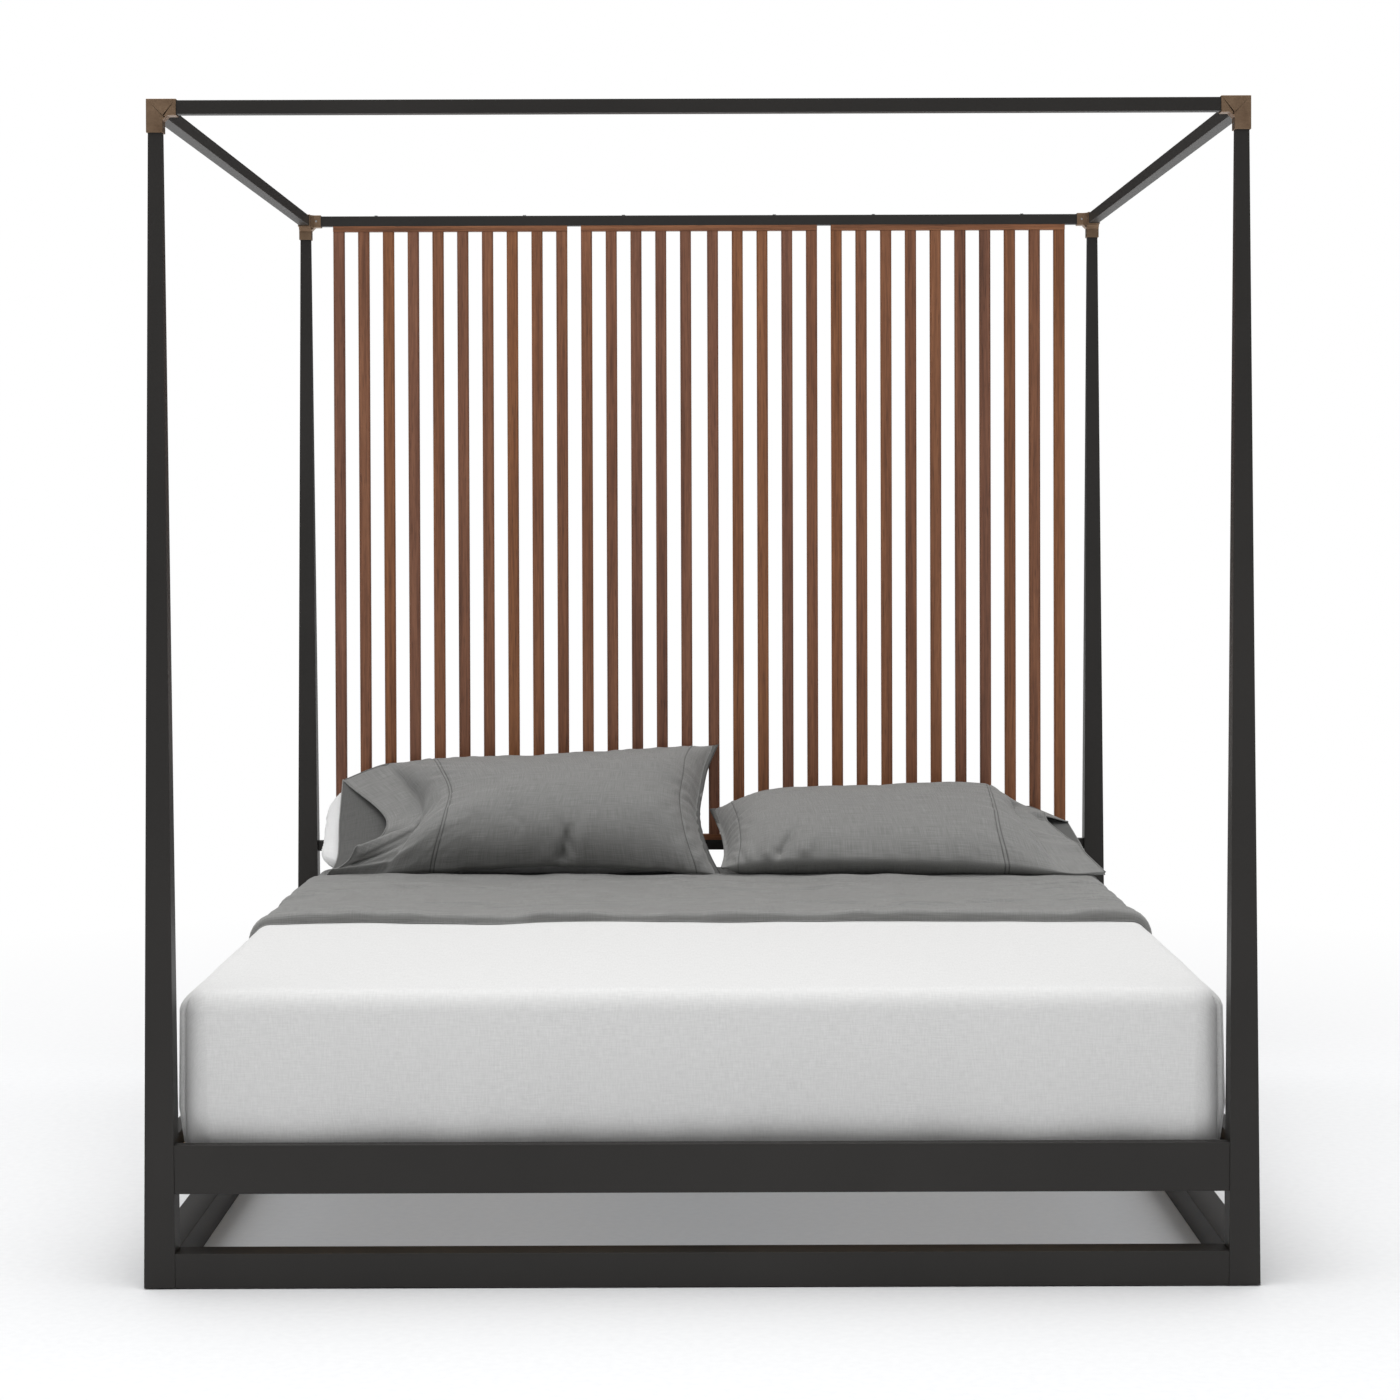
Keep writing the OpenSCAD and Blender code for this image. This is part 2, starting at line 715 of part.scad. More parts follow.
panel_bottom_rail(1);  // panel_right_bottom_rail
panel_screws();
slat_ledge(-1);  // slat_ledge_left
slat_ledge(1);  // slat_ledge_right
centre_beam();
beam_hanger(-1);  // beam_hanger_front
beam_hanger(1);  // beam_hanger_rear
hanger_screws();
support_leg(0);  // support_leg_1
support_leg(1);  // support_leg_2
support_leg(2);  // support_leg_3
leg_screws();
levelling_foot(0);  // levelling_foot_1
levelling_foot(1);  // levelling_foot_2
levelling_foot(2);  // levelling_foot_3
deck_slats();
slat_screws();
mattress();
fitted_sheet();
coverlet();
top_sheet();
pillow_white();
pillow_left();
pillow_right();
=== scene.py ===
import json
import math

import bpy
import numpy as np
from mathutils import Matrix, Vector


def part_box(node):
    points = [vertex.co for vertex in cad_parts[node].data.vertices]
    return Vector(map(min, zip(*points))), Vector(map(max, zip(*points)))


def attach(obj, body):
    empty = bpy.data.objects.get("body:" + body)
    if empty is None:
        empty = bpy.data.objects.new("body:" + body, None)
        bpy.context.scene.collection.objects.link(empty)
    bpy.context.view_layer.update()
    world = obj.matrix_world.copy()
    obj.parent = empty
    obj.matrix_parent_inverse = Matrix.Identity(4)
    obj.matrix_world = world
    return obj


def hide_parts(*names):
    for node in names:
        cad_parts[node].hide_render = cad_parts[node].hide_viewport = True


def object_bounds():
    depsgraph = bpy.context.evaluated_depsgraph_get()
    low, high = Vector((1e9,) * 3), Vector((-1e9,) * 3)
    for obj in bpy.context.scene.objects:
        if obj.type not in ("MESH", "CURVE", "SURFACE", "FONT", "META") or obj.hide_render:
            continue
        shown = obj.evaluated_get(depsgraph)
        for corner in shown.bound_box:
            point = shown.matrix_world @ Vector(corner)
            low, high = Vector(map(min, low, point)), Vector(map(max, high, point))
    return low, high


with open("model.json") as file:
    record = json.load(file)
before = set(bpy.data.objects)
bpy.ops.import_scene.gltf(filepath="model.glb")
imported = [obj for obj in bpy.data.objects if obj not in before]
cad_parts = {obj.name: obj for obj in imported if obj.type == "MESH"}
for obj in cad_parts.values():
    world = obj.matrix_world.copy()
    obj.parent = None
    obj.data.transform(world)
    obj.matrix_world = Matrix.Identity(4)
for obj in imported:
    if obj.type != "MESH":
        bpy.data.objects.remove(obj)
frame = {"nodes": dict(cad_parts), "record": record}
cad_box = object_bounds()
MM = 0.001  # lengths are in metres

# ----------------------------------------
# Camera, floor and light
# ----------------------------------------

# The camera that gives the photograph's perspective: metres, radians and millimetres of lens
CAMERA_FROM_FOOT = 5.4906
CAMERA_HEIGHT = 1.4156
CAMERA_DOWN = 0.0149
CAMERA_ROLL = -0.0032
LENS = 76.83
SHIFT_UP = -0.0965
# The world's strength at the horizon and overhead
LOW_LIGHT = 0.06
HIGH_LIGHT = 1.78
SOFT_BOX_WATTS = 50
UNDER_FILL_WATTS = 2.9
# How far from the middle the floor starts to fade into the background, and is gone
FLOOR_FADE = (1.8, 4.4)


def make_camera():
    """An eye-level view square to the foot end, framed low with a small shift."""
    camera = bpy.data.objects.new("camera", bpy.data.cameras.new("camera"))
    bpy.context.scene.collection.objects.link(camera)
    foot = cad_box[0][1]
    camera.location = (0, foot - CAMERA_FROM_FOOT, CAMERA_HEIGHT)
    camera.rotation_mode = "XYZ"
    camera.rotation_euler = (math.pi / 2 - CAMERA_DOWN, 0, 0)
    camera.rotation_euler.rotate_axis("Z", CAMERA_ROLL)
    camera.data.lens = LENS
    camera.data.shift_y = SHIFT_UP
    camera.data.clip_end = 100
    bpy.context.scene.camera = camera


def make_floor():
    """A pale, matte studio floor that fades into the white background."""
    bpy.ops.mesh.primitive_circle_add(vertices=96, radius=30, fill_type="NGON")
    floor = bpy.context.object
    floor.name = "floor"
    paint = Graph("studio_floor")
    place = paint.place()
    speckle = paint.noise(place, 60, detail=3)
    paint.colour(paint.ramp(speckle, [(0.3, (0.82, 0.825, 0.835)), (0.7, (0.85, 0.855, 0.863))]))
    paint.set("Roughness", 0.9)
    paint.set("Specular IOR Level", 0.1)
    away = paint.node("VectorMath", operation="LENGTH")
    paint.put(away.inputs[0], place)
    glow = paint.node("Emission")
    fade = paint.node("MixShader")
    paint.put(fade.inputs[0], paint.scale(away.outputs["Value"], 0, 1, *FLOOR_FADE))
    paint.put(fade.inputs[1], paint.shader.outputs[0])
    paint.put(fade.inputs[2], glow.outputs[0])
    paint.put(paint.tree.nodes["Material Output"].inputs["Surface"], fade.outputs[0])
    floor.data.materials.append(paint.material)


def area_light(name, place, target, size, watts, colour=(1, 1, 1)):
    lamp = bpy.data.lights.new(name, "AREA")
    lamp.shape = "RECTANGLE"
    lamp.size, lamp.size_y = size
    lamp.energy = watts
    lamp.color = colour
    light = bpy.data.objects.new(name, lamp)
    bpy.context.scene.collection.objects.link(light)
    light.location = place
    direction = Vector(target) - Vector(place)
    light.rotation_euler = direction.to_track_quat("-Z", "Y").to_euler()


def make_lights():
    """A pale tent of light, brightest overhead, with a large soft box above the foot end."""
    world = bpy.data.worlds.new("studio")
    bpy.context.scene.world = world
    world.use_nodes = True
    tree = world.node_tree
    place = tree.nodes.new("ShaderNodeTexCoord").outputs["Generated"]
    split = tree.nodes.new("ShaderNodeSeparateXYZ")
    rise = tree.nodes.new("ShaderNodeMapRange")
    path = tree.nodes.new("ShaderNodeLightPath")
    blend = tree.nodes.new("ShaderNodeMix")
    tree.links.new(place, split.inputs[0])
    tree.links.new(split.outputs["Z"], rise.inputs["Value"])
    rise.inputs["From Min"].default_value = 0.19
    rise.inputs["To Min"].default_value = LOW_LIGHT
    rise.inputs["To Max"].default_value = HIGH_LIGHT
    tree.links.new(path.outputs["Is Camera Ray"], blend.inputs["Factor"])
    tree.links.new(rise.outputs["Result"], blend.inputs["A"])
    blend.inputs["B"].default_value = 1.0
    tree.links.new(blend.outputs["Result"], tree.nodes["Background"].inputs["Strength"])
    tree.nodes["Background"].inputs["Color"].default_value = (1, 1, 1, 1)
    area_light("soft_box", (-0.6, -1.6, 5.2), (0, 0, 0.6), (3.2, 2.4), SOFT_BOX_WATTS)
    area_light("under_fill", (0, 0, 0.165), (0, 0, 0), (1.86, 1.80), UNDER_FILL_WATTS, (0.86, 0.93, 1.0))
    bpy.data.objects["under_fill"].visible_camera = False
    bpy.data.lights["under_fill"].spread = math.radians(105)
    bpy.context.scene.view_settings.view_transform = "Standard"


# ----------------------------------------
# Materials
# ----------------------------------------


class Graph:
    """A material's node tree around one Principled shader, with a short call for each kind of node."""

    def __init__(self, name):
        self.material = bpy.data.materials.new(name)
        self.material.use_nodes = True
        self.tree = self.material.node_tree
        self.shader = self.tree.nodes["Principled BSDF"]

    def node(self, kind, **settings):
        made = self.tree.nodes.new("ShaderNode" + kind)
        for key, value in settings.items():
            setattr(made, key, value)
        return made

    def put(self, socket, value):
        """Links a socket to a value, or sets it as a constant."""
        if isinstance(value, bpy.types.NodeSocket):
            self.tree.links.new(value, socket)
        elif hasattr(value, "__len__") and len(value) == 3 and socket.type == "RGBA":
            socket.default_value = (*value, 1)
        else:
            socket.default_value = value

    def set(self, socket, value):
        self.put(self.shader.inputs[socket], value)

    def colour(self, value):
        self.set("Base Color", value)

    def place(self):
        """The point on the piece, in metres, which moves with it."""
        return self.node("TexCoord").outputs["Object"]

    def attribute(self, name):
        return self.node("Attribute", attribute_name=name).outputs["Vector"]

    def stretch(self, vector, scale, shift=(0, 0, 0)):
        made = self.node("Mapping")
        self.put(made.inputs["Vector"], vector)
        self.put(made.inputs["Scale"], scale)
        self.put(made.inputs["Location"], shift)
        return made.outputs["Vector"]

    def noise(self, vector, scale, detail=2, roughness=0.5, distortion=0):
        made = self.node("TexNoise")
        self.put(made.inputs["Vector"], vector)
        self.put(made.inputs["Scale"], scale)
        self.put(made.inputs["Detail"], detail)
        self.put(made.inputs["Roughness"], roughness)
        self.put(made.inputs["Distortion"], distortion)
        return made.outputs["Fac"]

    def split(self, vector):
        made = self.node("SeparateXYZ")
        self.put(made.inputs[0], vector)
        return made.outputs

    def join(self, x, y, z):
        made = self.node("CombineXYZ")
        for socket, value in zip(made.inputs, (x, y, z)):
            self.put(socket, value)
        return made.outputs[0]

    def math(self, operation, *values):
        made = self.node("Math", operation=operation)
        for socket, value in zip(made.inputs, values):
            self.put(socket, value)
        return made.outputs[0]

    def add(self, a, b):
        return self.math("ADD", a, b)

    def times(self, a, b):
        return self.math("MULTIPLY", a, b)

    def vector_add(self, a, b):
        made = self.node("VectorMath", operation="ADD")
        self.put(made.inputs[0], a)
        self.put(made.inputs[1], b)
        return made.outputs[0]

    def ramp(self, factor, stops):
        """Colours at places along a factor from 0 to 1."""
        made = self.node("ValToRGB")
        self.put(made.inputs["Fac"], factor)
        marks = made.color_ramp.elements
        while len(marks) < len(stops):
            marks.new(1)
        for mark, (place, colour) in zip(marks, stops):
            mark.position = place
            mark.color = (*colour, 1)
        return made.outputs["Color"]

    def scale(self, factor, low, high, start=0.0, end=1.0):
        """A factor from start to end, turned into a value from low to high."""
        made = self.node("MapRange")
        for socket, value in zip(made.inputs, (factor, start, end, low, high)):
            self.put(socket, value)
        return made.outputs["Result"]

    def mix(self, factor, a, b, blend="MIX"):
        made = self.node("Mix", data_type="RGBA", blend_type=blend)
        self.put(made.inputs["Factor"], factor)
        self.put(made.inputs[6], a)
        self.put(made.inputs[7], b)
        return made.outputs[2]

    def bump(self, height, depth, strength=1.0):
        made = self.node("Bump")
        self.put(made.inputs["Height"], height)
        self.put(made.inputs["Distance"], depth)
        self.put(made.inputs["Strength"], strength)
        self.set("Normal", made.outputs["Normal"])


def powder_coat():
    """Satin powder coat in a warm near-black: an orange-peel surface with faint cloudiness."""
    paint = Graph("powder_coat")
    place = paint.place()
    cloud = paint.noise(place, 3.5, detail=3)
    grit = paint.noise(place, 900, detail=2)
    tone = paint.ramp(cloud, [(0.25, (0.0165, 0.015, 0.0136)), (0.75, (0.0235, 0.0215, 0.0196))])
    paint.colour(paint.mix(paint.scale(grit, 0.0, 0.35), tone, (0.040, 0.037, 0.035)))
    paint.set("Roughness", paint.scale(grit, 0.38, 0.52))
    paint.set("Specular IOR Level", 0.3)
    paint.bump(paint.noise(place, 620, detail=2), 0.00012, 0.55)
    return paint.material


def bronze():
    """Brushed bronze under a thin brown patina, with fine marks along each arm."""
    metal = Graph("brushed_bronze")
    place = metal.place()
    patina = metal.noise(place, 38, detail=5, roughness=0.6)
    lines = metal.noise(metal.stretch(place, (160, 160, 1900)), 1, detail=3)
    warm = metal.ramp(patina, [(0.25, (0.215, 0.136, 0.083)), (0.75, (0.305, 0.205, 0.132))])
    metal.colour(metal.mix(metal.scale(lines, 0.0, 0.4, 0.35, 0.75), warm, (0.39, 0.272, 0.185)))
    metal.set("Metallic", 0.9)
    metal.set("Roughness", metal.add(metal.scale(patina, 0.36, 0.5), metal.scale(lines, -0.05, 0.05)))
    metal.bump(lines, 0.00010, 0.5)
    return metal.material


def slat_number(wood, across, pitch, first):
    """Counts the slats out from the middle, so that each has a tone and a grain of its own."""
    side = wood.math("SIGN", across)
    count = wood.math("DIVIDE", wood.math("SUBTRACT", wood.math("ABSOLUTE", across), first), pitch)
    return wood.times(wood.math("ADD", wood.math("ROUND", count), 1), side)


def wood_grain(wood, place, number, along, tones, streaks):
    """Wood with long pores, drifting figure and board-to-board tone. along is the axis of the grain."""
    chance = wood.node("TexWhiteNoise", noise_dimensions="1D")
    wood.put(chance.inputs["W"], number)
    luck = chance.outputs["Value"]
    board = wood.vector_add(place, wood.join(0, 0, wood.times(luck, 37)))
    board = wood.vector_add(board, wood.join(wood.times(number, 3.7), wood.times(number, 1.9), 0))
    slow = [9.0, 9.0, 9.0]
    slow[along] = 0.9
    fine = [260.0, 260.0, 260.0]
    fine[along] = 5.0
    pores = [900.0, 900.0, 900.0]
    pores[along] = 22.0
    bend = wood.noise(wood.stretch(board, slow), 1, detail=2)
    sway = (wood.scale(bend, -0.012, 0.012), wood.scale(bend, 0.012, -0.012))
    bent = wood.vector_add(board, wood.join(*sway, 0) if along == 2 else wood.join(0, *sway))
    grain = wood.noise(wood.stretch(bent, fine), 1, detail=4, roughness=0.62, distortion=0.3)
    figure = wood.noise(wood.stretch(bent, [v * 0.22 for v in fine]), 1, detail=3)
    pore = wood.noise(wood.stretch(bent, pores), 1, detail=1)
    shade = wood.add(wood.times(grain, 0.55), wood.times(figure, 0.45))
    tone = wood.ramp(shade, tones)
    tone = wood.mix(wood.scale(pore, 0.0, streaks, 0.58, 0.72), tone, tones[0][1], "MULTIPLY")
    warm = wood.node("HueSaturation")
    wood.put(warm.inputs["Hue"], wood.scale(luck, 0.496, 0.503))
    wood.put(warm.inputs["Saturation"], wood.scale(luck, 1.0, 1.12))
    wood.put(warm.inputs["Value"], wood.scale(luck, 0.84, 1.08))
    wood.put(warm.inputs["Color"], tone)
    wood.colour(warm.outputs["Color"])
    wood.set("Roughness", wood.scale(grain, 0.42, 0.58))
    wood.bump(wood.add(wood.times(grain, 0.6), wood.times(pore, -0.7)), 0.00022, 0.6)


# The walnut's colours from its darkest pores to its palest figure.
WALNUT_TONES = [(0.30, (0.081, 0.031, 0.015)), (0.48, (0.204, 0.084, 0.043)),
                (0.60, (0.271, 0.119, 0.062)), (0.74, (0.342, 0.160, 0.087))]


def walnut():
    wood = Graph("oiled_walnut")
    place = wood.place()
    number = slat_number(wood, wood.split(place)[0], 0.063, 0.0344)
    wood_grain(wood, place, number, 2, WALNUT_TONES, 0.55)
    return wood.material


def walnut_rail():
    """The same walnut with its grain along the panel's rails."""
    wood = Graph("oiled_walnut_rail")
    wood_grain(wood, wood.place(), 3.0, 0, WALNUT_TONES, 0.55)
    return wood.material


def pine():
    wood = Graph("planed_pine")
    place = wood.place()
    number = wood.math("ROUND", wood.math("DIVIDE", wood.split(place)[1], 0.16))
    tones = [(0.28, (0.44, 0.27, 0.13)), (0.5, (0.62, 0.43, 0.24)), (0.72, (0.74, 0.56, 0.35))]
    wood_grain(wood, place, number, 0, tones, 0.2)
    return wood.material


def zinc():
    """Zinc-plated steel: pale, slightly mottled, with turning marks."""
    metal = Graph("zinc_plate")
    place = metal.place()
    spangle = metal.node("TexVoronoi", feature="F1")
    metal.put(spangle.inputs["Vector"], place)
    metal.put(spangle.inputs["Scale"], 420)
    marks = metal.noise(metal.stretch(place, (300, 300, 2400)), 1, detail=2)
    cells = metal.split(spangle.outputs["Color"])[0]
    metal.colour(metal.ramp(cells, [(0.0, (0.47, 0.48, 0.49)), (1.0, (0.66, 0.67, 0.68))]))
    metal.set("Metallic", 1.0)
    metal.set("Roughness", metal.scale(marks, 0.28, 0.5))
    metal.bump(marks, 0.00008, 0.5)
    return metal.material


def nylon():
    """Moulded black nylon with a fine spark-eroded grain."""
    plastic = Graph("moulded_nylon")
    place = plastic.place()
    grain = plastic.noise(place, 1500, detail=2)
    plastic.colour(plastic.ramp(grain, [(0.3, (0.022, 0.022, 0.023)), (0.7, (0.036, 0.036, 0.037))]))
    plastic.set("Roughness", plastic.scale(grain, 0.55, 0.72))
    plastic.bump(grain, 0.00008, 0.6)
    return plastic.material


def finish_cad():
    """Gives every hard CAD node its finish and a small eased edge."""
    finish = {"frame": powder_coat(), "bronze": bronze(), "walnut": walnut(), "deck_wood": pine(),
              "zinc": zinc(), "nylon": nylon()}
    rail_wood = walnut_rail()
    edge = {"frame": 0.9, "bronze": 1.3, "walnut": 0.6, "deck_wood": 1.5, "zinc": 0.2, "nylon": 0.4}
    for part in frame["record"]["subparts"]:
        node, slot = part["node"], part["material_slot"]
        if slot not in finish:
            continue
        piece = frame["nodes"][node]
        is_rail = node.endswith("top_rail") or node.endswith("bottom_rail")
        piece.data.materials.clear()
        piece.data.materials.append(rail_wood if is_rail else finish[slot])
        ease_edges(piece, edge[slot] * MM)


def ease_edges(piece, radius):
    """Rounds a CAD node's sharp edges at the renderer's end, with its own vertices left as they are."""
    weld = piece.modifiers.new("join_faces", "WELD")
    weld.merge_threshold = 0.01 * MM
    bevel = piece.modifiers.new("eased_edges", "BEVEL")
    bevel.width = radius
    bevel.segments = 2
    bevel.limit_method = "ANGLE"
    bevel.angle_limit = math.radians(40)
    piece.data.shade_smooth()
    crisp = piece.modifiers.new("crisp_normals", "WEIGHTED_NORMAL")
    crisp.keep_sharp = True


# ----------------------------------------
# Cloth materials
# ----------------------------------------


def woven(name, thread, slub, colours, rough, sheen, depth, yarn_size=(1.9 * MM, 50 * MM), seams=()):
    """Plain woven cloth. The weave and its slubs follow the cloth's own flat coordinates, in metres.

    thread is the pitch of the yarns, slub the strength of their thick and thin places, and yarn_size
    how wide and long those places are. colours are the darkest, the palest and the clouded one, and
    seams lists where stitched seams cross the cloth; a thin line of painted shadow is laid along each.
    """
    low, high, clouded = colours
    cloth = Graph(name)
    flat = cloth.attribute("flat")
    x, y = cloth.split(flat)[:2]
    across, along = 1 / yarn_size[0], 1 / yarn_size[1]
    warp = cloth.noise(cloth.stretch(flat, (across, along, 1)), 1, detail=2)
    weft = cloth.noise(cloth.stretch(flat, (along * 0.8, across * 1.1, 1), (5, 9, 0)), 1, detail=2)
    turn = 2 * math.pi / thread
    over = cloth.math("SINE", cloth.times(x, turn))
    under = cloth.math("SINE", cloth.times(y, turn))
    weave = cloth.times(over, under)
    cloud = cloth.noise(flat, 7, detail=3)
    yarn = cloth.add(cloth.times(warp, 0.5), cloth.times(weft, 0.5))
    tone = cloth.mix(cloth.scale(yarn, 0.0, 1.0, 0.5 - slub, 0.5 + slub), low, high)
    tone = cloth.mix(cloth.scale(cloud, 0.0, 0.35, 0.3, 0.8), tone, clouded)
    # A thin line of painted shadow along each stitched seam, where its groove would be in shade.
    for seam in seams:
        off = cloth.math("ABSOLUTE", cloth.add(x, -seam))
        painted_seam_shadow = cloth.scale(off, 0.75, 0.0, 0.7 * MM, 2.6 * MM)
        tone = cloth.mix(painted_seam_shadow, tone, tuple(0.35 * c for c in low))
    cloth.colour(cloth.mix(cloth.scale(weave, 0.0, 0.16, -1, 1), tone, low))
    cloth.set("Roughness", cloth.scale(yarn, rough - 0.05, rough + 0.05, 0.3, 0.7))
    cloth.set("Sheen Weight", sheen)
    cloth.set("Sheen Roughness", 0.4)
    cloth.set("Specular IOR Level", 0.25)
    relief = cloth.add(cloth.times(weave, 0.35), cloth.times(yarn, 1.3))
    cloth.bump(relief, depth)
    return cloth.material


GRAY = ((0.185, 0.185, 0.180), (0.30, 0.30, 0.293), (0.235, 0.235, 0.229))
# The wrong side's colours: duller than the face, and darkened to about half as painted shade inside the
# cases.
GRAY_WRONG_SIDE_AND_SHADE = ((0.095, 0.095, 0.092), (0.15, 0.15, 0.146), (0.115, 0.115, 0.112))


def white_linen():
    colours = ((0.66, 0.66, 0.655), (0.83, 0.83, 0.825), (0.75, 0.75, 0.745))
    return woven("white_linen", 2.6 * MM, 0.24, colours, 0.85, 0.15, 0.3 * MM, (2.9 * MM, 21 * MM))


def gray_sateen():
    return woven("gray_sateen", 0.6 * MM, 0.14, GRAY, 0.6, 0.25, 0.16 * MM)


def case_outside():
    """The pillow cases: the same sateen, with two rows of stitches at the hem and one at the closed end,
    each with a thin line of painted shadow.
    """
    return woven("case_sateen", 0.6 * MM, 0.14, GRAY, 0.6, 0.25, 0.16 * MM, seams=CASE_SEAMS)


def case_inside_and_shade():
    """The duller wrong side of the sateen, seen inside the open ends of the cases, darkened further with
    painted shade where the stuffing shades the inside.
    """
    return woven("case_inside_and_shade", 0.6 * MM, 0.14, GRAY_WRONG_SIDE_AND_SHADE, 0.85, 0.1, 0.16 * MM)


def white_cotton():
    colours = ((0.76, 0.76, 0.755), (0.86, 0.86, 0.86), (0.80, 0.80, 0.80))
    return woven("white_cotton", 0.5 * MM, 0.3, colours, 0.8, 0.1, 0.12 * MM)


def ticking():
    """The mattress cover: a knitted damask with small quilted waves."""
    colours = ((0.62, 0.615, 0.60), (0.80, 0.795, 0.78), (0.70, 0.695, 0.68))
    return woven("mattress_ticking", 1.4 * MM, 0.25, colours, 0.8, 0.1, 0.5 * MM)


# ----------------------------------------
# Cloth over the mattress
# ----------------------------------------

PLAN_RADIUS = 55 * MM
MATTRESS_EDGE = 32 * MM
ALL_ROUND = ("left", "front", "right", "back")


def smooth(t):
    t = np.clip(t, 0, 1)
    return t * t * (3 - 2 * t)


def ripple(a, b, wave, seed, count=7, stretch=(1.0, 1.0)):
    """Soft irregular waves over two coordinates, from -1 to 1, the same on every run."""
    chance = np.random.RandomState(seed)
    total = np.zeros_like(a)
    for _ in range(count):
        angle = chance.uniform(0, 2 * math.pi)
        length = wave * chance.uniform(0.7, 1.5)
        phase = chance.uniform(0, 2 * math.pi)
        along = a * math.cos(angle) / stretch[0] + b * math.sin(angle) / stretch[1]
        total += np.sin(2 * math.pi * along / length + phase)
    return total / math.sqrt(count) * 0.8


def spaced(low, high, step):
    return np.linspace(low, high, max(2, int(round((high - low) / step)) + 1))


def cloth_length(points):
    """Length along a line at each of its points."""
    return np.concatenate([[0], np.cumsum(np.linalg.norm(np.diff(points, axis=0), axis=1))])


def drop_profile(edge_radius, top, low, round_low, step, fine=0):
    """Runs from the flat top round the edge and down the side: distance out, height, and length of cloth.

    It starts PLAN_RADIUS inside the side. round_low is the radius of the curl in at the bottom, and
    fine the height of a closely spaced part above it.
    """
    points = [(s, top) for s in spaced(0, PLAN_RADIUS - edge_radius, 12 * MM)[:-1]]
    for angle in np.linspace(0, math.pi / 2, 8):
        points.append((PLAN_RADIUS - edge_radius + edge_radius * math.sin(angle),
                       top - edge_radius + edge_radius * math.cos(angle)))
    straight = list(spaced(top - edge_radius, low + round_low + fine, step)[1:])
    if fine:
        straight += list(spaced(low + round_low + fine, low + round_low, step * 0.35)[1:])
    points += [(PLAN_RADIUS, z) for z in straight]
    for angle in np.linspace(0, math.pi / 3, 4)[1:]:
        points.append((PLAN_RADIUS - round_low * (1 - math.cos(angle)),
                       low + round_low - round_low * math.sin(angle)))
    points = np.array(points)
    return points[:, 0], points[:, 1], cloth_length(points)


class Cover:
    """A layer over the mattress: a flat grid on top, and rays of cloth that run over its edges and down.

    sides lists the edges that it hangs over, in order round the bed from the left side. Where two of
    them meet, a fan of rays turns the corner. rows are the grid's places along the bed, if not even.
    """

    def __init__(self, low, high, profile, sides, step, fan=10, rows=None):
        x0, y0, x1, y1 = low[0] + PLAN_RADIUS, low[1], high[0] - PLAN_RADIUS, high[1]
        y0 += PLAN_RADIUS if "front" in sides else 0
        y1 -= PLAN_RADIUS if "back" in sides else 0
        xs = spaced(x0, x1, step)
        ys = spaced(y0, y1, step) if rows is None else rows
        nx, ny = len(xs), len(ys)
        self.nx, self.ny = nx, ny
        grid_x, grid_y = np.meshgrid(xs, ys, indexing="ij")
        out, height, length = profile
        index = np.arange(nx * ny).reshape(nx, ny)
        runs = {"left": index[0, ::-1], "front": index[:, 0],
                "right": index[-1, :], "back": index[::-1, -1]}
        heading = {"left": 180.0, "front": 270.0, "right": 360.0, "back": 450.0}
        origins, angles, breaks = [], [], set()
        for side in sides:
            if angles and heading[side] - angles[-1] == 90:
                corner = origins[-1]
                for angle in np.linspace(angles[-1], heading[side], fan + 1)[1:-1]:
                    origins.append(corner)
                    angles.append(angle)
            elif angles:
                breaks.add(len(angles) - 1)
            for start in runs[side]:
                origins.append(start)
                angles.append(heading[side])
        closed = len(sides) == 4
        if closed:
            for angle in np.linspace(450, 540, fan + 1)[1:-1]:
                origins.append(origins[-1])
                angles.append(angle)
        origins, angles = np.array(origins), np.radians(np.array(angles))
        base = np.stack([grid_x.ravel(), grid_y.ravel()], 1)
        heads = np.stack([np.cos(angles), np.sin(angles)], 1)
        rings = len(out)
        flat_top = np.column_stack([base, np.zeros(len(base))])
        ring_xy = base[origins][:, None, :] + heads[:, None, :] * out[None, 1:, None]
        ring_flat = base[origins][:, None, :] + heads[:, None, :] * length[None, 1:, None]
        ring_z = np.broadcast_to(height[None, 1:, None], ring_xy.shape[:2] + (1,))
        ring = np.concatenate([ring_xy, ring_z], 2).reshape(-1, 3)
        top = np.column_stack([base, np.full(len(base), height[0])])
        self.points = np.concatenate([top, ring])
        zeros = np.zeros((len(ring), 1))
        self.flat = np.concatenate([flat_top, np.concatenate([ring_flat.reshape(-1, 2), zeros], 1)])
        down = np.broadcast_to(length[None, 1:], (len(origins), rings - 1)).reshape(-1)
        self.drop = np.concatenate([np.zeros(len(base)), down])
        turn = np.broadcast_to(np.degrees(angles)[:, None], (len(origins), rings - 1)).reshape(-1)
        self.turn = np.concatenate([np.full(len(base), -1.0), turn])
        faces = []
        for i in range(nx - 1):
            for j in range(ny - 1):
                faces.append((index[i, j], index[i + 1, j], index[i + 1, j + 1], index[i, j + 1]))
        count = len(origins)

        def vertex(ray, step_down):
            if step_down == 0:
                return int(origins[ray])
            return nx * ny + ray * (rings - 1) + step_down - 1

        self.vertex, self.count, self.rings = vertex, count, rings
        for ray in range(count if closed else count - 1):
            after = (ray + 1) % count
            for k in range(rings - 1 if ray not in breaks else 0):
                face = [vertex(ray, k), vertex(ray, k + 1), vertex(after, k + 1), vertex(after, k)]
                unique = list(dict.fromkeys(face))
                if len(unique) > 2:
                    faces.append(tuple(int(v) for v in unique))
        self.faces = [tuple(int(v) for v in face) for face in faces]

    def normals(self):
        return vertex_normals(self.points, self.faces)

    def push(self, distance):
        """Moves the cloth along its normals."""
        self.points = self.points + self.normals() * distance[:, None]


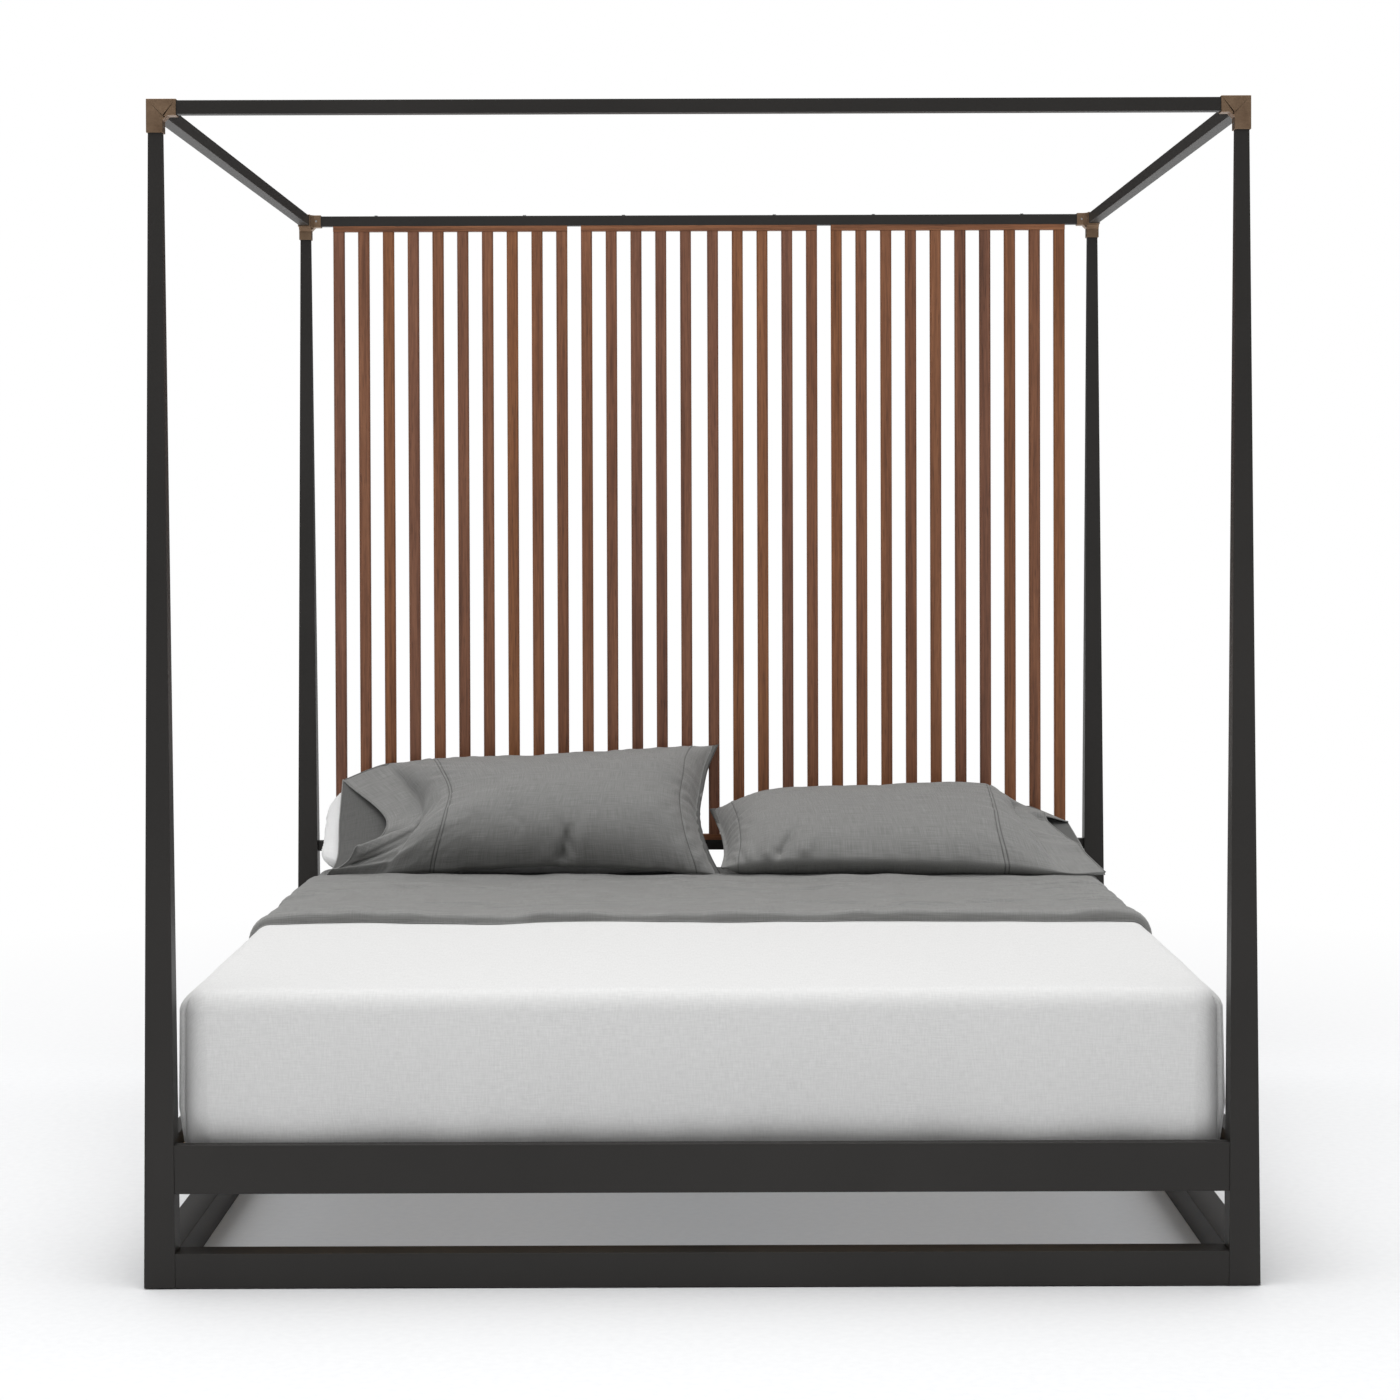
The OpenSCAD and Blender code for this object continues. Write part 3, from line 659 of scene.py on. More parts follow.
def vertex_normals(points, faces):
    total = np.zeros_like(points)
    for size in (3, 4):
        group = np.array([f for f in faces if len(f) == size])
        if not len(group):
            continue
        a, b, c = points[group[:, 0]], points[group[:, 1]], points[group[:, -1]]
        middle = points[group[:, 2]]
        normal = np.cross(middle - a, c - b) if size == 4 else np.cross(b - a, c - a)
        for corner in range(size):
            np.add.at(total, group[:, corner], normal)
    return total / np.maximum(np.linalg.norm(total, axis=1, keepdims=True), 1e-12)


def make_mesh(name, points, faces, flat, material):
    """A smooth mesh that carries its flat cloth coordinates, in metres."""
    mesh = bpy.data.meshes.new(name)
    mesh.from_pydata([tuple(p) for p in points], [], faces)
    mesh.update()
    cloth = mesh.attributes.new("flat", "FLOAT_VECTOR", "POINT")
    cloth.data.foreach_set("vector", np.asarray(flat, np.float32).ravel())
    mesh.materials.append(material)
    mesh.shade_smooth()
    piece = bpy.data.objects.new(name, mesh)
    bpy.context.scene.collection.objects.link(piece)
    return piece


def apply_modifiers(piece):
    """Turns the piece's modifiers into plain mesh."""
    bpy.context.view_layer.update()
    seen = piece.evaluated_get(bpy.context.evaluated_depsgraph_get())
    mesh = bpy.data.meshes.new_from_object(seen)
    piece.modifiers.clear()
    old = piece.data
    piece.data = mesh
    bpy.data.meshes.remove(old)
    mesh.name = piece.name


def thicken(piece, thickness, inside=None):
    """Gives a sheet its thickness, inward from the side that shows; inside is the material in there."""
    solid = piece.modifiers.new("thickness", "SOLIDIFY")
    if inside:
        piece.data.materials.append(inside)
        solid.material_offset = 1
    solid.thickness = thickness
    solid.offset = -1
    solid.use_rim = True
    apply_modifiers(piece)


def finish_soft(piece, body, nodes):
    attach(piece, body)
    if nodes:
        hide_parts(*nodes)


def draw_in(cover, bottom):
    """The tucked bedding holds the mattress in along its lower edge, and its own layers lie flat."""
    y, z = cover.points.T[1:]
    covered = smooth((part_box("top_sheet")[1].y + 0.05 - y) / 0.1)
    low = smooth((bottom + 0.13 - z) / 0.12)
    side = smooth((cover.drop - 0.01) / 0.05)
    corner = np.exp(-((np.abs(cover.turn - 270) - 60) / 25) ** 2) * covered
    cover.push(-side * (low * (6 + 16 * covered) + 1.5 * covered + 6 * corner) * MM)


def make_mattress(ticking_cloth):
    """The mattress: quilted side bands between two lines of piping, and a plain top and underside."""
    low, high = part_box("mattress")
    top, bottom = high.z, low.z
    arc = np.linspace(0, math.pi / 2, 7)
    edge = MATTRESS_EDGE
    flat_in = PLAN_RADIUS - edge
    side = spaced(top - edge, bottom + edge, 8 * MM)[1:-1]
    points = [(0, top), (flat_in * 0.5, top)]
    points += [(flat_in + edge * math.sin(a), top - edge + edge * math.cos(a)) for a in arc]
    points += [(PLAN_RADIUS, z) for z in side]
    points += [(flat_in + edge * math.cos(a), bottom + edge - edge * math.sin(a)) for a in arc]
    points += [(flat_in * 0.5, bottom)]
    points = np.array(points)
    cover = Cover(low, high, (points[:, 0], points[:, 1], cloth_length(points)), ALL_ROUND, 30 * MM, 6)
    draw_in(cover, bottom)
    z = cover.points[:, 2]
    round_bed = cover.flat[:, 0] + cover.flat[:, 1]
    on_side = smooth((top - 0.04 - z) / 0.02) * smooth((z - bottom - 0.04) / 0.02)
    quilt = np.abs(np.sin(math.pi * round_bed / 0.09)) ** 0.5
    quilt = quilt * np.abs(np.sin(math.pi * (z - bottom) / 0.07)) ** 0.5
    cover.push(on_side * (quilt * 2.5 * MM - 3.2 * MM) - 2.4 * MM)
    for height in (top - 0.034, bottom + 0.034):
        ring = np.exp(-((z - height) / (3.2 * MM)) ** 2)
        cover.push(ring * 1.6 * MM)
    faces = list(cover.faces)
    base = len(cover.points)
    nx, ny = cover.nx, cover.ny
    under = cover.points[: nx * ny].copy()
    under[:, 2] = bottom
    points = np.concatenate([cover.points, under])
    flat = np.concatenate([cover.flat, np.column_stack([under[:, :2], np.full(len(under), 0.3)])])
    for i in range(nx - 1):
        for j in range(ny - 1):
            a = base + i * ny + j
            faces.append((a, a + 1, a + ny + 1, a + ny))
    runs = [cover.vertex(ray, 0) for ray in range(cover.count)]
    for ray in range(cover.count):
        after = (ray + 1) % cover.count
        last = cover.rings - 1
        face = [cover.vertex(ray, last), base + runs[ray], base + runs[after], cover.vertex(after, last)]
        unique = tuple(dict.fromkeys(face))
        if len(unique) > 2:
            faces.append(unique)
    piece = make_mesh("mattress_core", points, faces, flat, ticking_cloth)
    finish_soft(piece, "bedding", ["mattress"])


def make_fitted_sheet(cloth):
    """The fitted sheet: smooth on top, gathered by elastic along its bottom edge and at the corners."""
    low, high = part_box("fitted_sheet")
    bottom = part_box("mattress")[0].z + 5 * MM
    profile = drop_profile(MATTRESS_EDGE, high.z, bottom, 22 * MM, 12 * MM)
    cover = Cover(low, high, profile, ALL_ROUND, 24 * MM, 10)
    u, v = cover.flat.T[:2]
    uncovered = smooth((cover.points[:, 1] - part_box("top_sheet")[1].y - 0.02) / 0.05)
    draw_in(cover, bottom)
    hem = smooth((bottom + 0.06 - cover.points[:, 2]) / 0.06)
    gather = np.sin(2 * math.pi * (u + v) / 0.027) * 0.5 + np.sin(2 * math.pi * (u + v) / 0.041 + 1) * 0.5
    drape = ripple(u, v, 0.10, 11, stretch=(1.0, 2.2)) * 0.8 * MM * uncovered
    cover.push(drape + hem * gather * 0.8 * MM * uncovered - 0.3 * MM)
    piece = make_mesh("fitted_sheet_cloth", cover.points, cover.faces, cover.flat, cloth)
    thicken(piece, 0.8 * MM)
    finish_soft(piece, "bedding", ["fitted_sheet"])


def make_coverlet(cloth):
    """The white coverlet: tucked in at the foot, with a hospital corner at each front corner."""
    low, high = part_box("coverlet")
    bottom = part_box("mattress")[0].z + 6 * MM
    edge = 38 * MM
    profile = drop_profile(edge, high.z, bottom, 10 * MM, 10 * MM, 64 * MM)
    cover = Cover(low, high, profile, ("left", "front", "right"), 16 * MM, 68)
    u, v = cover.flat.T[:2]
    x, y, z = cover.points.T
    height = (z - bottom) / (high.z - bottom)
    side_turn = np.abs(cover.turn - 270)
    on_ray = cover.turn >= 0
    hanging = smooth((cover.drop - PLAN_RADIUS) / 0.05) * on_ray
    # The body of the cloth: a soft crown on the front and sides, and faint hand-smoothed waves
    belly = np.sin(math.pi * np.clip(height, 0, 1)) * hanging
    away = belly * 3.5 * MM
    away += ripple(u, v, 0.33, 3, stretch=(1.6, 1.0)) * 0.9 * MM
    away += ripple(u, v, 0.09, 4, stretch=(1.8, 1.0)) * 0.22 * MM
    # Tucked in along the foot: it slopes in behind the rail, deepest in the middle
    facing_foot = smooth((52 - side_turn) / 34) * on_ray
    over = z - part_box("platform_rail_front")[1].z
    deep = 0.22 + 0.62 * np.exp(-((x - 0.10) / 0.45) ** 2)
    deep = np.clip(deep + 0.22 * ripple(x, x * 0, 0.30, 8, 5) + 0.10 * ripple(x, x * 0, 0.11, 9, 4), 0, 1)
    swell = 6 * MM * smooth((0.17 - over) / 0.10)
    reach = (34 + 54 * deep) * MM
    slope_in = (5 + 23 * deep) * MM * np.clip((reach - over) / reach, 0, 1) ** 1.7
    slant = x + over * 2.2 * np.sign(x)
    pull = ripple(slant, over, 0.10, 12, 5, (1.0, 4.0)) * smooth((0.09 - over) / 0.06)
    below = smooth((4 * MM - over) / (6 * MM))
    level = (swell - slope_in + pull * 1.6 * MM) * (1 - below) - (6 + 16 * deep) * MM * below
    level = facing_foot * level
    # The hospital corner: the side drop overlaps the tucked end, which shows as a deep narrow slit
    slit = 63 - 13 * np.clip(2 * height - 1, 0, 1) ** 2 - 22 * np.clip(1 - 2 * height, 0, 1) ** 1.8
    beyond = (side_turn - slit) * math.pi / 180 * PLAN_RADIUS
    lapped = smooth((high.z - 10 * MM - z) / 0.03) * smooth((over + 2 * MM) / 0.02) * on_ray
    groove = np.exp(-((beyond + 2.0 * MM) / (1.7 * MM)) ** 2)
    near = np.exp(-np.abs(beyond) / (30 * MM))
    crescent = np.clip(np.sin(math.pi * np.clip(height * 1.02, 0, 1)), 0, 1) ** 0.6
    lip = np.exp(-np.clip(beyond - 4 * MM, 0, None) / (80 * MM)) * smooth(beyond / (1.8 * MM))
    away += lapped * (near * 1.5 + lip * (2.5 + 6 * crescent) - groove * 9) * MM
    # Under the side drop the folded corner ends in a slanting ridge
    behind = y - (low.y + PLAN_RADIUS)
    slant = behind - (high.z - z) * 0.92
    on_side = (side_turn > 89) * on_ray
    away += on_side * 1.6 * MM * smooth(-slant / (7 * MM)) * smooth((slant + 0.30) / 0.2) * lapped
    covered = smooth((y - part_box("top_sheet")[0].y - 0.04) / 0.06)
    away = away * (1 - covered) - 0.6 * MM * covered
    cover.push(away)
    heading = np.radians(cover.turn)
    cover.points[:, 0] += np.cos(heading) * level
    cover.points[:, 1] += np.sin(heading) * level
    # Its back edge stays hidden under the top sheet
    cover.points[:, 1] -= 18 * MM * smooth((y - high.y + 0.10) / 0.10)
    piece = make_mesh("coverlet_cloth", cover.points, cover.faces, cover.flat, cloth)
    thicken(piece, 1.8 * MM)
    finish_soft(piece, "bedding", ["coverlet"])


def make_top_sheet(cloth):
    """The gray top sheet, folded back over the coverlet into a soft band with a rolled front edge."""
    low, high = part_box("top_sheet")
    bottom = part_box("mattress")[0].z + 8 * MM
    profile = drop_profile(40 * MM, high.z, bottom, 24 * MM, 9 * MM)
    seen_to = low.y + 0.60
    rows = np.concatenate([low.y + np.arange(0, 28, 2) * MM, spaced(low.y + 28 * MM, seen_to, 4.8 * MM),
                           spaced(seen_to, high.y, 9 * MM)[1:]])
    cover = Cover(low, high, profile, ("left", "right"), 12 * MM, 2, rows)
    u, v = cover.flat.T[:2]
    facing = cover.normals()
    # The edges wander a little
    length = high.y - low.y
    share = (v - low.y) / length
    wander = (20 * ripple(u, u * 0, 0.5, 21, 5) + 6 * ripple(u, u * 0, 0.13, 22, 5)) * MM
    cover.points[:, 1] += wander * (1 - share) ** 3
    cover.points[:, 1] += 6 * MM * ripple(u, u * 0, 0.7, 23, 4) * share ** 4
    # Height over the coverlet: the fold rolls over at the front, settles, and thins out at the back
    from_front = np.clip(v - low.y, 0, None)
    from_back = np.clip(high.y - v, 0, None)
    full = (11 + 2.4 * ripple(u, u * 0, 0.30, 24, 6) + 1.2 * ripple(u, u * 0, 0.09, 27, 6)) * MM
    angle = np.clip(from_front / (26 * MM), 0, 1) * math.pi
    lean = np.sin(math.pi * (angle / math.pi) ** 1.7)
    cover.points[:, 1] += full * (1.0 - lean * 1.3) * (angle < math.pi)
    cover.points[:, 1] += full * (angle >= math.pi) * np.exp(-(from_front - 26 * MM) / (40 * MM))
    settle = np.exp(-np.clip(from_front - 30 * MM, 0, None) / 0.07)
    rise = full * (1 - np.cos(angle)) * (0.48 + 0.52 * settle)
    rise *= np.sqrt(np.clip(1 - (1 - np.clip(from_back / (9 * MM), 0, 1)) ** 2, 0, 1))
    on_side = smooth((np.abs(u) - (high.x - PLAN_RADIUS)) / 0.08)
    rise *= 1 - 0.5 * on_side
    bands = ripple(v + 0.016 * np.sin(u * 3.1), u, 0.085, 25, 7, (1.0, 9.0))
    bands = np.sign(bands) * np.abs(bands) ** 1.4
    fine = ripple(v + 0.008 * np.sin(u * 5.3), u, 0.030, 26, 6, (1.0, 8.0))
    inner = smooth((from_front - 20 * MM) / 0.04) * smooth(from_back / 0.03)
    lines = ripple(v + 0.012 * np.sin(u * 4.1), u, 0.060, 28, 5, (1.0, 11.0))
    strength = smooth(0.55 + ripple(u, v, 0.35, 29, 5, (1.8, 1.0)))
    creases = np.exp(-(lines / 0.30) ** 2) * strength
    away = rise + (bands * 5.0 + fine * 2.6 - creases * 7.5) * MM * inner * (1 - 0.6 * on_side)
    # It never sinks into the coverlet
    lowest = 1.2 * MM * inner
    above = lowest + 2 * MM * np.log1p(np.exp(np.clip((away - lowest) / (2 * MM), -30, 30)))
    away = np.where(inner > 0, above, away)
    cover.points += facing * away[:, None]
    piece = make_mesh("top_sheet_cloth", cover.points, cover.faces, cover.flat, cloth)
    thicken(piece, 1.0 * MM)
    finish_soft(piece, "bedding", ["top_sheet"])


# ----------------------------------------
# Pillows
# ----------------------------------------

# A king-size pillow case, cut flat, and its seams' places along it
CASE_LENGTH = 1.03
CASE_WIDTH = 0.508
HEM_SEAM = 0.24
END_SEAM = CASE_LENGTH - 0.075
CASE_SEAMS = (HEM_SEAM, HEM_SEAM + 9 * MM, END_SEAM)
STUFFED_FROM = 0.13
CASE_STEP = 7.5 * MM
PILLOW_FRAMES = 40
PILLOW_PRESSURE = 2.2


def through(keys, at):
    """A smooth line through key points (place, x, y, z), read at the given places."""
    keys = np.array(keys, float)
    places, values = keys[:, 0], keys[:, 1:]
    slopes = np.gradient(values, places, axis=0)
    slot = np.clip(np.searchsorted(places, at, side="right") - 1, 0, len(keys) - 2)
    span = (places[slot + 1] - places[slot])[:, None]
    t = (at - places[slot])[:, None] / span
    h00, h10 = 2 * t**3 - 3 * t**2 + 1, t**3 - 2 * t**2 + t
    h01, h11 = -2 * t**3 + 3 * t**2, t**3 - t**2
    return (h00 * values[slot] + h10 * span * slopes[slot]
            + h01 * values[slot + 1] + h11 * span * slopes[slot + 1])


def coons(low_edge, high_edge, open_edge, closed_edge):
    """A surface between four edges, each a row of points that meets the next at the corner."""
    nu, nv = len(low_edge), len(open_edge)
    s = np.linspace(0, 1, nu)[:, None, None]
    t = np.linspace(0, 1, nv)[None, :, None]
    ruled = (1 - t) * low_edge[:, None] + t * high_edge[:, None]
    ruled += (1 - s) * open_edge[None] + s * closed_edge[None]
    corners = (1 - s) * (1 - t) * low_edge[0] + s * (1 - t) * low_edge[-1]
    corners += (1 - s) * t * high_edge[0] + s * t * high_edge[-1]
    return ruled - corners


def grid_faces(nu, nv):
    faces = []
    for i in range(nu - 1):
        for j in range(nv - 1):
            a = i * nv + j
            faces.append((a, a + nv, a + nv + 1, a + 1))
    return faces


def inflate(start, cut, pinned, pressed):
    """Lets the upper cloth of a case swell from its first shape, with the lengths it was cut to."""
    nu, nv = start.shape[:2]
    mesh = bpy.data.meshes.new("case_trial")
    mesh.from_pydata([tuple(p) for p in start.reshape(-1, 3)], [], grid_faces(nu, nv))
    trial = bpy.data.objects.new("case_trial", mesh)
    bpy.context.scene.collection.objects.link(trial)
    trial.shape_key_add(name="first")
    key = trial.shape_key_add(name="cut")
    key.data.foreach_set("co", cut.reshape(-1).astype(np.float32))
    hold = trial.vertex_groups.new(name="hold")
    press = trial.vertex_groups.new(name="press")
    for index, (a, b) in enumerate(zip(pinned.ravel(), pressed.ravel())):
        if a > 0:
            hold.add([index], float(a), "REPLACE")
        press.add([index], float(b), "REPLACE")
    cloth = trial.modifiers.new("cloth", "CLOTH")
    settings = cloth.settings
    settings.rest_shape_key = key
    settings.quality = 7
    settings.mass = 0.25
    settings.tension_stiffness = 40
    settings.compression_stiffness = 40
    settings.shear_stiffness = 12
    settings.bending_stiffness = 0.06
    settings.tension_damping = 6
    settings.compression_damping = 6
    settings.shear_damping = 6
    settings.air_damping = 2
    settings.vertex_group_mass = "hold"
    settings.use_pressure = True
    settings.uniform_pressure_force = PILLOW_PRESSURE
    settings.vertex_group_pressure = "press"
    settings.effector_weights.gravity = 0
    cloth.collision_settings.use_collision = False
    cloth.point_cache.frame_start = 1
    cloth.point_cache.frame_end = PILLOW_FRAMES
    scene = bpy.context.scene
    for step in range(1, PILLOW_FRAMES + 1):
        scene.frame_set(step)
    seen = trial.evaluated_get(bpy.context.evaluated_depsgraph_get())
    found = np.zeros(nu * nv * 3, np.float32)
    seen.data.vertices.foreach_get("co", found)
    bpy.data.objects.remove(trial)
    bpy.data.meshes.remove(mesh)
    scene.frame_set(1)
    return found.reshape(nu, nv, 3).astype(float)


def bulge(u, v, thickness, square=2.6):
    """The swell of a stuffed case: full in the middle, pulled in at the seams."""
    lengthways = np.clip((u - STUFFED_FROM) / (CASE_LENGTH - 0.02 - STUFFED_FROM), 0, 1)
    across = np.clip(v / CASE_WIDTH, 0, 1)
    return (thickness * np.clip(1 - np.abs(2 * lengthways - 1) ** 4.5, 0, 1) ** 0.62
            * np.clip(1 - np.abs(2 * across - 1) ** square, 0, 1) ** 0.72)


def seam_marks(u, v):
    """Depth of the stitched seams: two rows at the hem, and one near the closed end."""
    inside = smooth(v / 0.012) * smooth((CASE_WIDTH - v) / 0.012)
    rows = np.zeros_like(u)
    for seam, depth, width in zip(CASE_SEAMS, (1.0, 0.7, 0.8), (2.6, 2.6, 3.0)):
        rows += depth * np.exp(-((u - seam) / (width * MM)) ** 2)
    return inside * rows


def puckers(u, v, pressed):
    """Small gathers that run out from the seams and fade over a hand's breadth."""
    total = np.zeros_like(u)
    for number, seam in enumerate((HEM_SEAM, END_SEAM)):
        off = u - seam
        fan = v + off * (v / CASE_WIDTH - 0.5) * 2.4
        wave = ripple(fan, off, 0.036, 51 + number, 9, (1.0, 6.0))
        total += wave * np.exp(-np.abs(off) / 0.05) * smooth(np.abs(off) / 0.010) * 2.2 * MM
    for number, side in enumerate((v, CASE_WIDTH - v)):
        wave = ripple(u, side, 0.042, 61 + number, 9, (1.0, 5.0))
        total += wave * np.exp(-side / 0.045) * smooth(side / 0.012) * pressed * 2.0 * MM
    total += ripple(u, v, 0.16, 71, 7, (1.6, 1.0)) * pressed * 1.5 * MM
    return total


def out_from(grid):
    """The way each point of a grid of cloth faces."""
    facing = np.cross(np.gradient(grid, axis=0), np.gradient(grid, axis=1))
    return facing / np.maximum(np.linalg.norm(facing, axis=2, keepdims=True), 1e-9)


def refine(grid, old_us, old_vs, us, vs):
    """The same cloth on a closer grid."""
    rows = through(np.column_stack([old_us, grid.reshape(len(old_us), -1)]), us)
    turned = rows.reshape(len(us), len(old_vs), 3).transpose(1, 0, 2)
    columns = through(np.column_stack([old_vs, turned.reshape(len(old_vs), -1)]), vs)
    return columns.reshape(len(vs), len(us), 3).transpose(1, 0, 2)


def closer_rows():
    """Places along the case: even, with close rows at the stitched seams."""
    rows = list(spaced(0, CASE_LENGTH, 7 * MM))
    for seam in CASE_SEAMS:
        rows = [r for r in rows if abs(r - seam) > 8 * MM] + list(seam + np.arange(-4, 4.1, 1.6) * MM)
    return np.array(sorted(rows))


def rolled_hem(loop, radius):
    """A thin tube round the open end, where the cloth is turned over and stitched."""
    count, sides = len(loop), 6
    ahead = np.gradient(loop, axis=0)
    ahead /= np.linalg.norm(ahead, axis=1, keepdims=True)
    first = np.cross(ahead, (0.3, 0.2, 1.0))
    first /= np.linalg.norm(first, axis=1, keepdims=True)
    second = np.cross(ahead, first)
    angles = np.arange(sides) * 2 * math.pi / sides
    rings = loop[:, None] + radius * (np.cos(angles)[None, :, None] * first[:, None]
                                      + np.sin(angles)[None, :, None] * second[:, None])
    faces = []
    for i in range(count - 1):
        for k in range(sides):
            a, b = i * sides + k, i * sides + (k + 1) % sides
            faces.append((a, b, b + sides, a + sides))
    faces.append(tuple(range(sides))[::-1])
    faces.append(tuple((count - 1) * sides + k for k in range(sides)))
    return rings.reshape(-1, 3), faces


def add_hem(name, front, back, place, wall, cloth):
    """The rolled hem as a mesh of its own, along the front layer's edge and back along the rear layer's."""
    points, faces = rolled_hem(np.concatenate([front[0], back[0, ::-1][1:-1]]), 1.7 * MM)
    hem = make_mesh(name, place(points), faces, points, cloth)
    rest_on(hem, wall)
    return hem


def stuffed(u):
    """The part of a case that its stuffing fills, from 0 to 1."""
    return smooth((u - HEM_SEAM + 0.06) / 0.08) * smooth((END_SEAM + 0.03 - u) / 0.05)


def make_pillow(name, node, body, shape, case_cloth, inside_and_shade_cloth, stuffing_cloth):
    """A stuffed pillow in its case, open at one end.

    shape gives the case's four edges and its swell, in a plane tilted up towards the headboard:
    x along the bed's width, s up the slope and n out of the plane, in metres.
    """
    nu = int(round(CASE_LENGTH / CASE_STEP)) + 1
    nv = int(round(CASE_WIDTH / CASE_STEP)) + 1
    us, vs = np.linspace(0, CASE_LENGTH, nu), np.linspace(0, CASE_WIDTH, nv)
    u, v = np.meshgrid(us, vs, indexing="ij")
    low_edge, high_edge = through(shape["low"], us), through(shape["high"], us)
    open_edge, closed_edge = through(shape["open"], vs), through(shape["closed"], vs)
    back_edge = through(shape["back"], vs)
    wave = 1.0 * MM * (np.sin(us * 61) + np.sin(us * 37 + 1.3))
    wave = wave * smooth(us / 0.1) * smooth((CASE_LENGTH - us) / 0.1)
    low_edge[:, 1] += wave
    high_edge[:, 1] -= wave[::-1]
    front = coons(low_edge, high_edge, open_edge, closed_edge)
    front[..., 2] += bulge(u, v, shape["over"])
    for fold in shape["ridges"]:
        front[..., 2] += ridge(u, v, *fold)
    cut = np.stack([u, v, 0 * u], 2)
    pinned = np.zeros_like(u)
    pinned[:, 0] = pinned[:, -1] = pinned[-1, :] = pinned[0, :] = 1
    front = inflate(front, cut, pinned, stuffed(u))
    front[..., 2] *= shape["settled"]
    pull = np.exp(-((u - HEM_SEAM - 0.02) / 0.11) ** 2) * np.sin(math.pi * (v / CASE_WIDTH) ** 1.5) ** 2
    front[..., 0] -= shape["hem_pull"] * pull
    close_us, close_vs = closer_rows(), spaced(0, CASE_WIDTH, 6 * MM)
    front = refine(front, us, vs, close_us, close_vs)
    u, v = np.meshgrid(close_us, close_vs, indexing="ij")
    free = smooth(np.minimum(v, CASE_WIDTH - v) / 0.012) * smooth((CASE_LENGTH - u) / 0.012)
    relief = puckers(u, v, stuffed(u)) - 1.6 * MM * seam_marks(u, v)
    for fold in shape["creases"]:
        relief += ridge(u, v, *fold)
    front += out_from(front) * (relief * free)[..., None]
    # The underside rests on what is below, so it is flatter and its folds don't show
    back = refine(coons(low_edge, high_edge, back_edge, closed_edge), us, vs, close_us, close_vs)
    under = bulge(u, v, shape["under"], 3.5)
    creases = ripple(u, v, 0.09, 31, 6) * 0.03 * shape["under"] * (under / max(shape["under"], MM))
    back[..., 2] -= under + creases
    mesh_points, faces, flat = join_layers(front, back, u, v)
    place = shape["place"]
    piece = make_mesh(name, place(mesh_points), faces, flat, case_cloth)
    if shape["mirror"]:
        piece.data.flip_normals()
    rest_on(piece, shape["wall"])
    # The inner faces get the wrong side's cloth, darkened with painted shade inside the case.
    thicken(piece, 0.7 * MM, inside_and_shade_cloth)
    hem = add_hem(name + "_hem", front, back, place, shape["wall"], case_cloth)
    finish_soft(hem, body, [])
    stuffing = make_stuffing(name.replace("case", "stuffing"), front, back, u, v, shape, stuffing_cloth)
    finish_soft(piece, body, [node])
    finish_soft(stuffing, body, [])


def ridge(u, v, ua, va, ub, vb, height, width):
    """A fold that runs from a to b over the cloth and fades out at b."""
    a, b = np.array((ua, va)), np.array((ub, vb))
    line = b - a
    t = np.clip(((u - a[0]) * line[0] + (v - a[1]) * line[1]) / (line @ line), 0, 1)
    gap = np.hypot(u - a[0] - t * line[0], v - a[1] - t * line[1])
    return height * np.exp(-(gap / width) ** 2) * (1 - 0.8 * t)


def join_layers(front, back, u, v):
    """One mesh from both layers, sewn along the two long edges and the closed end, and open at the hem."""
    nu, nv = u.shape
    index_front = np.arange(nu * nv).reshape(nu, nv)
    index_back = np.full((nu, nv), -1)
    index_back[:, 0], index_back[:, -1] = index_front[:, 0], index_front[:, -1]
    index_back[-1, :] = index_front[-1, :]
    free = index_back < 0
    index_back[free] = nu * nv + np.arange(free.sum())
    points = np.concatenate([front.reshape(-1, 3), back[free]])
    flat = np.stack([u, v, 0 * u], 2)
    flat = np.concatenate([flat.reshape(-1, 3), (flat + (0, CASE_WIDTH, 1))[free]])
    faces = grid_faces(nu, nv)
    for i in range(nu - 1):
        for j in range(nv - 1):
            face = (index_back[i, j], index_back[i, j + 1], index_back[i + 1, j + 1], index_back[i + 1, j])
            faces.append(tuple(int(k) for k in face))
    return points, faces, flat


def make_stuffing(name, front, back, u, v, shape, cloth):
    """The pillow inside the case: a closed white cushion that ends at the hem seam."""
    keep = u[:, 0] > HEM_SEAM - 0.05
    a, b, u, v = front[keep], back[keep], u[keep], v[keep]
    end = smooth((u - u[0, 0]) / 0.07) ** 0.5
    middle, half = (a + b) / 2, (a - b) / 2
    inset = np.clip(1 - 3.2 * MM / np.maximum(np.linalg.norm(half, axis=2, keepdims=True), 4 * MM), 0.15, 1)
    half = half * inset * end[..., None]
    side = smooth(v / 0.02) * smooth((CASE_WIDTH - v) / 0.02)
    centre = middle.mean((0, 1))
    middle = centre + (middle - centre) * (0.985, 0.975, 1.0)
    half = half * (0.1 + 0.9 * side)[..., None]
    points, faces, flat = join_layers(middle + half, middle - half, u, v)
    nv = u.shape[1]
    back_end = [0] + [u.size + j for j in range(nv - 2)] + [nv - 1]
    for j in range(nv - 1):
        face = tuple(dict.fromkeys((j, j + 1, back_end[j + 1], back_end[j])))
        if len(face) > 2:
            faces.append(face)
    piece = make_mesh(name, shape["place"](points), faces, flat, cloth)
    if shape["mirror"]:
        piece.data.flip_normals()
    rest_on(piece, shape["wall"])
    return piece


def read_vertices(piece, what):
    values = np.zeros(len(piece.data.vertices) * 3, np.float32)
    piece.data.vertices.foreach_get(what, values)
    return values.reshape(-1, 3)


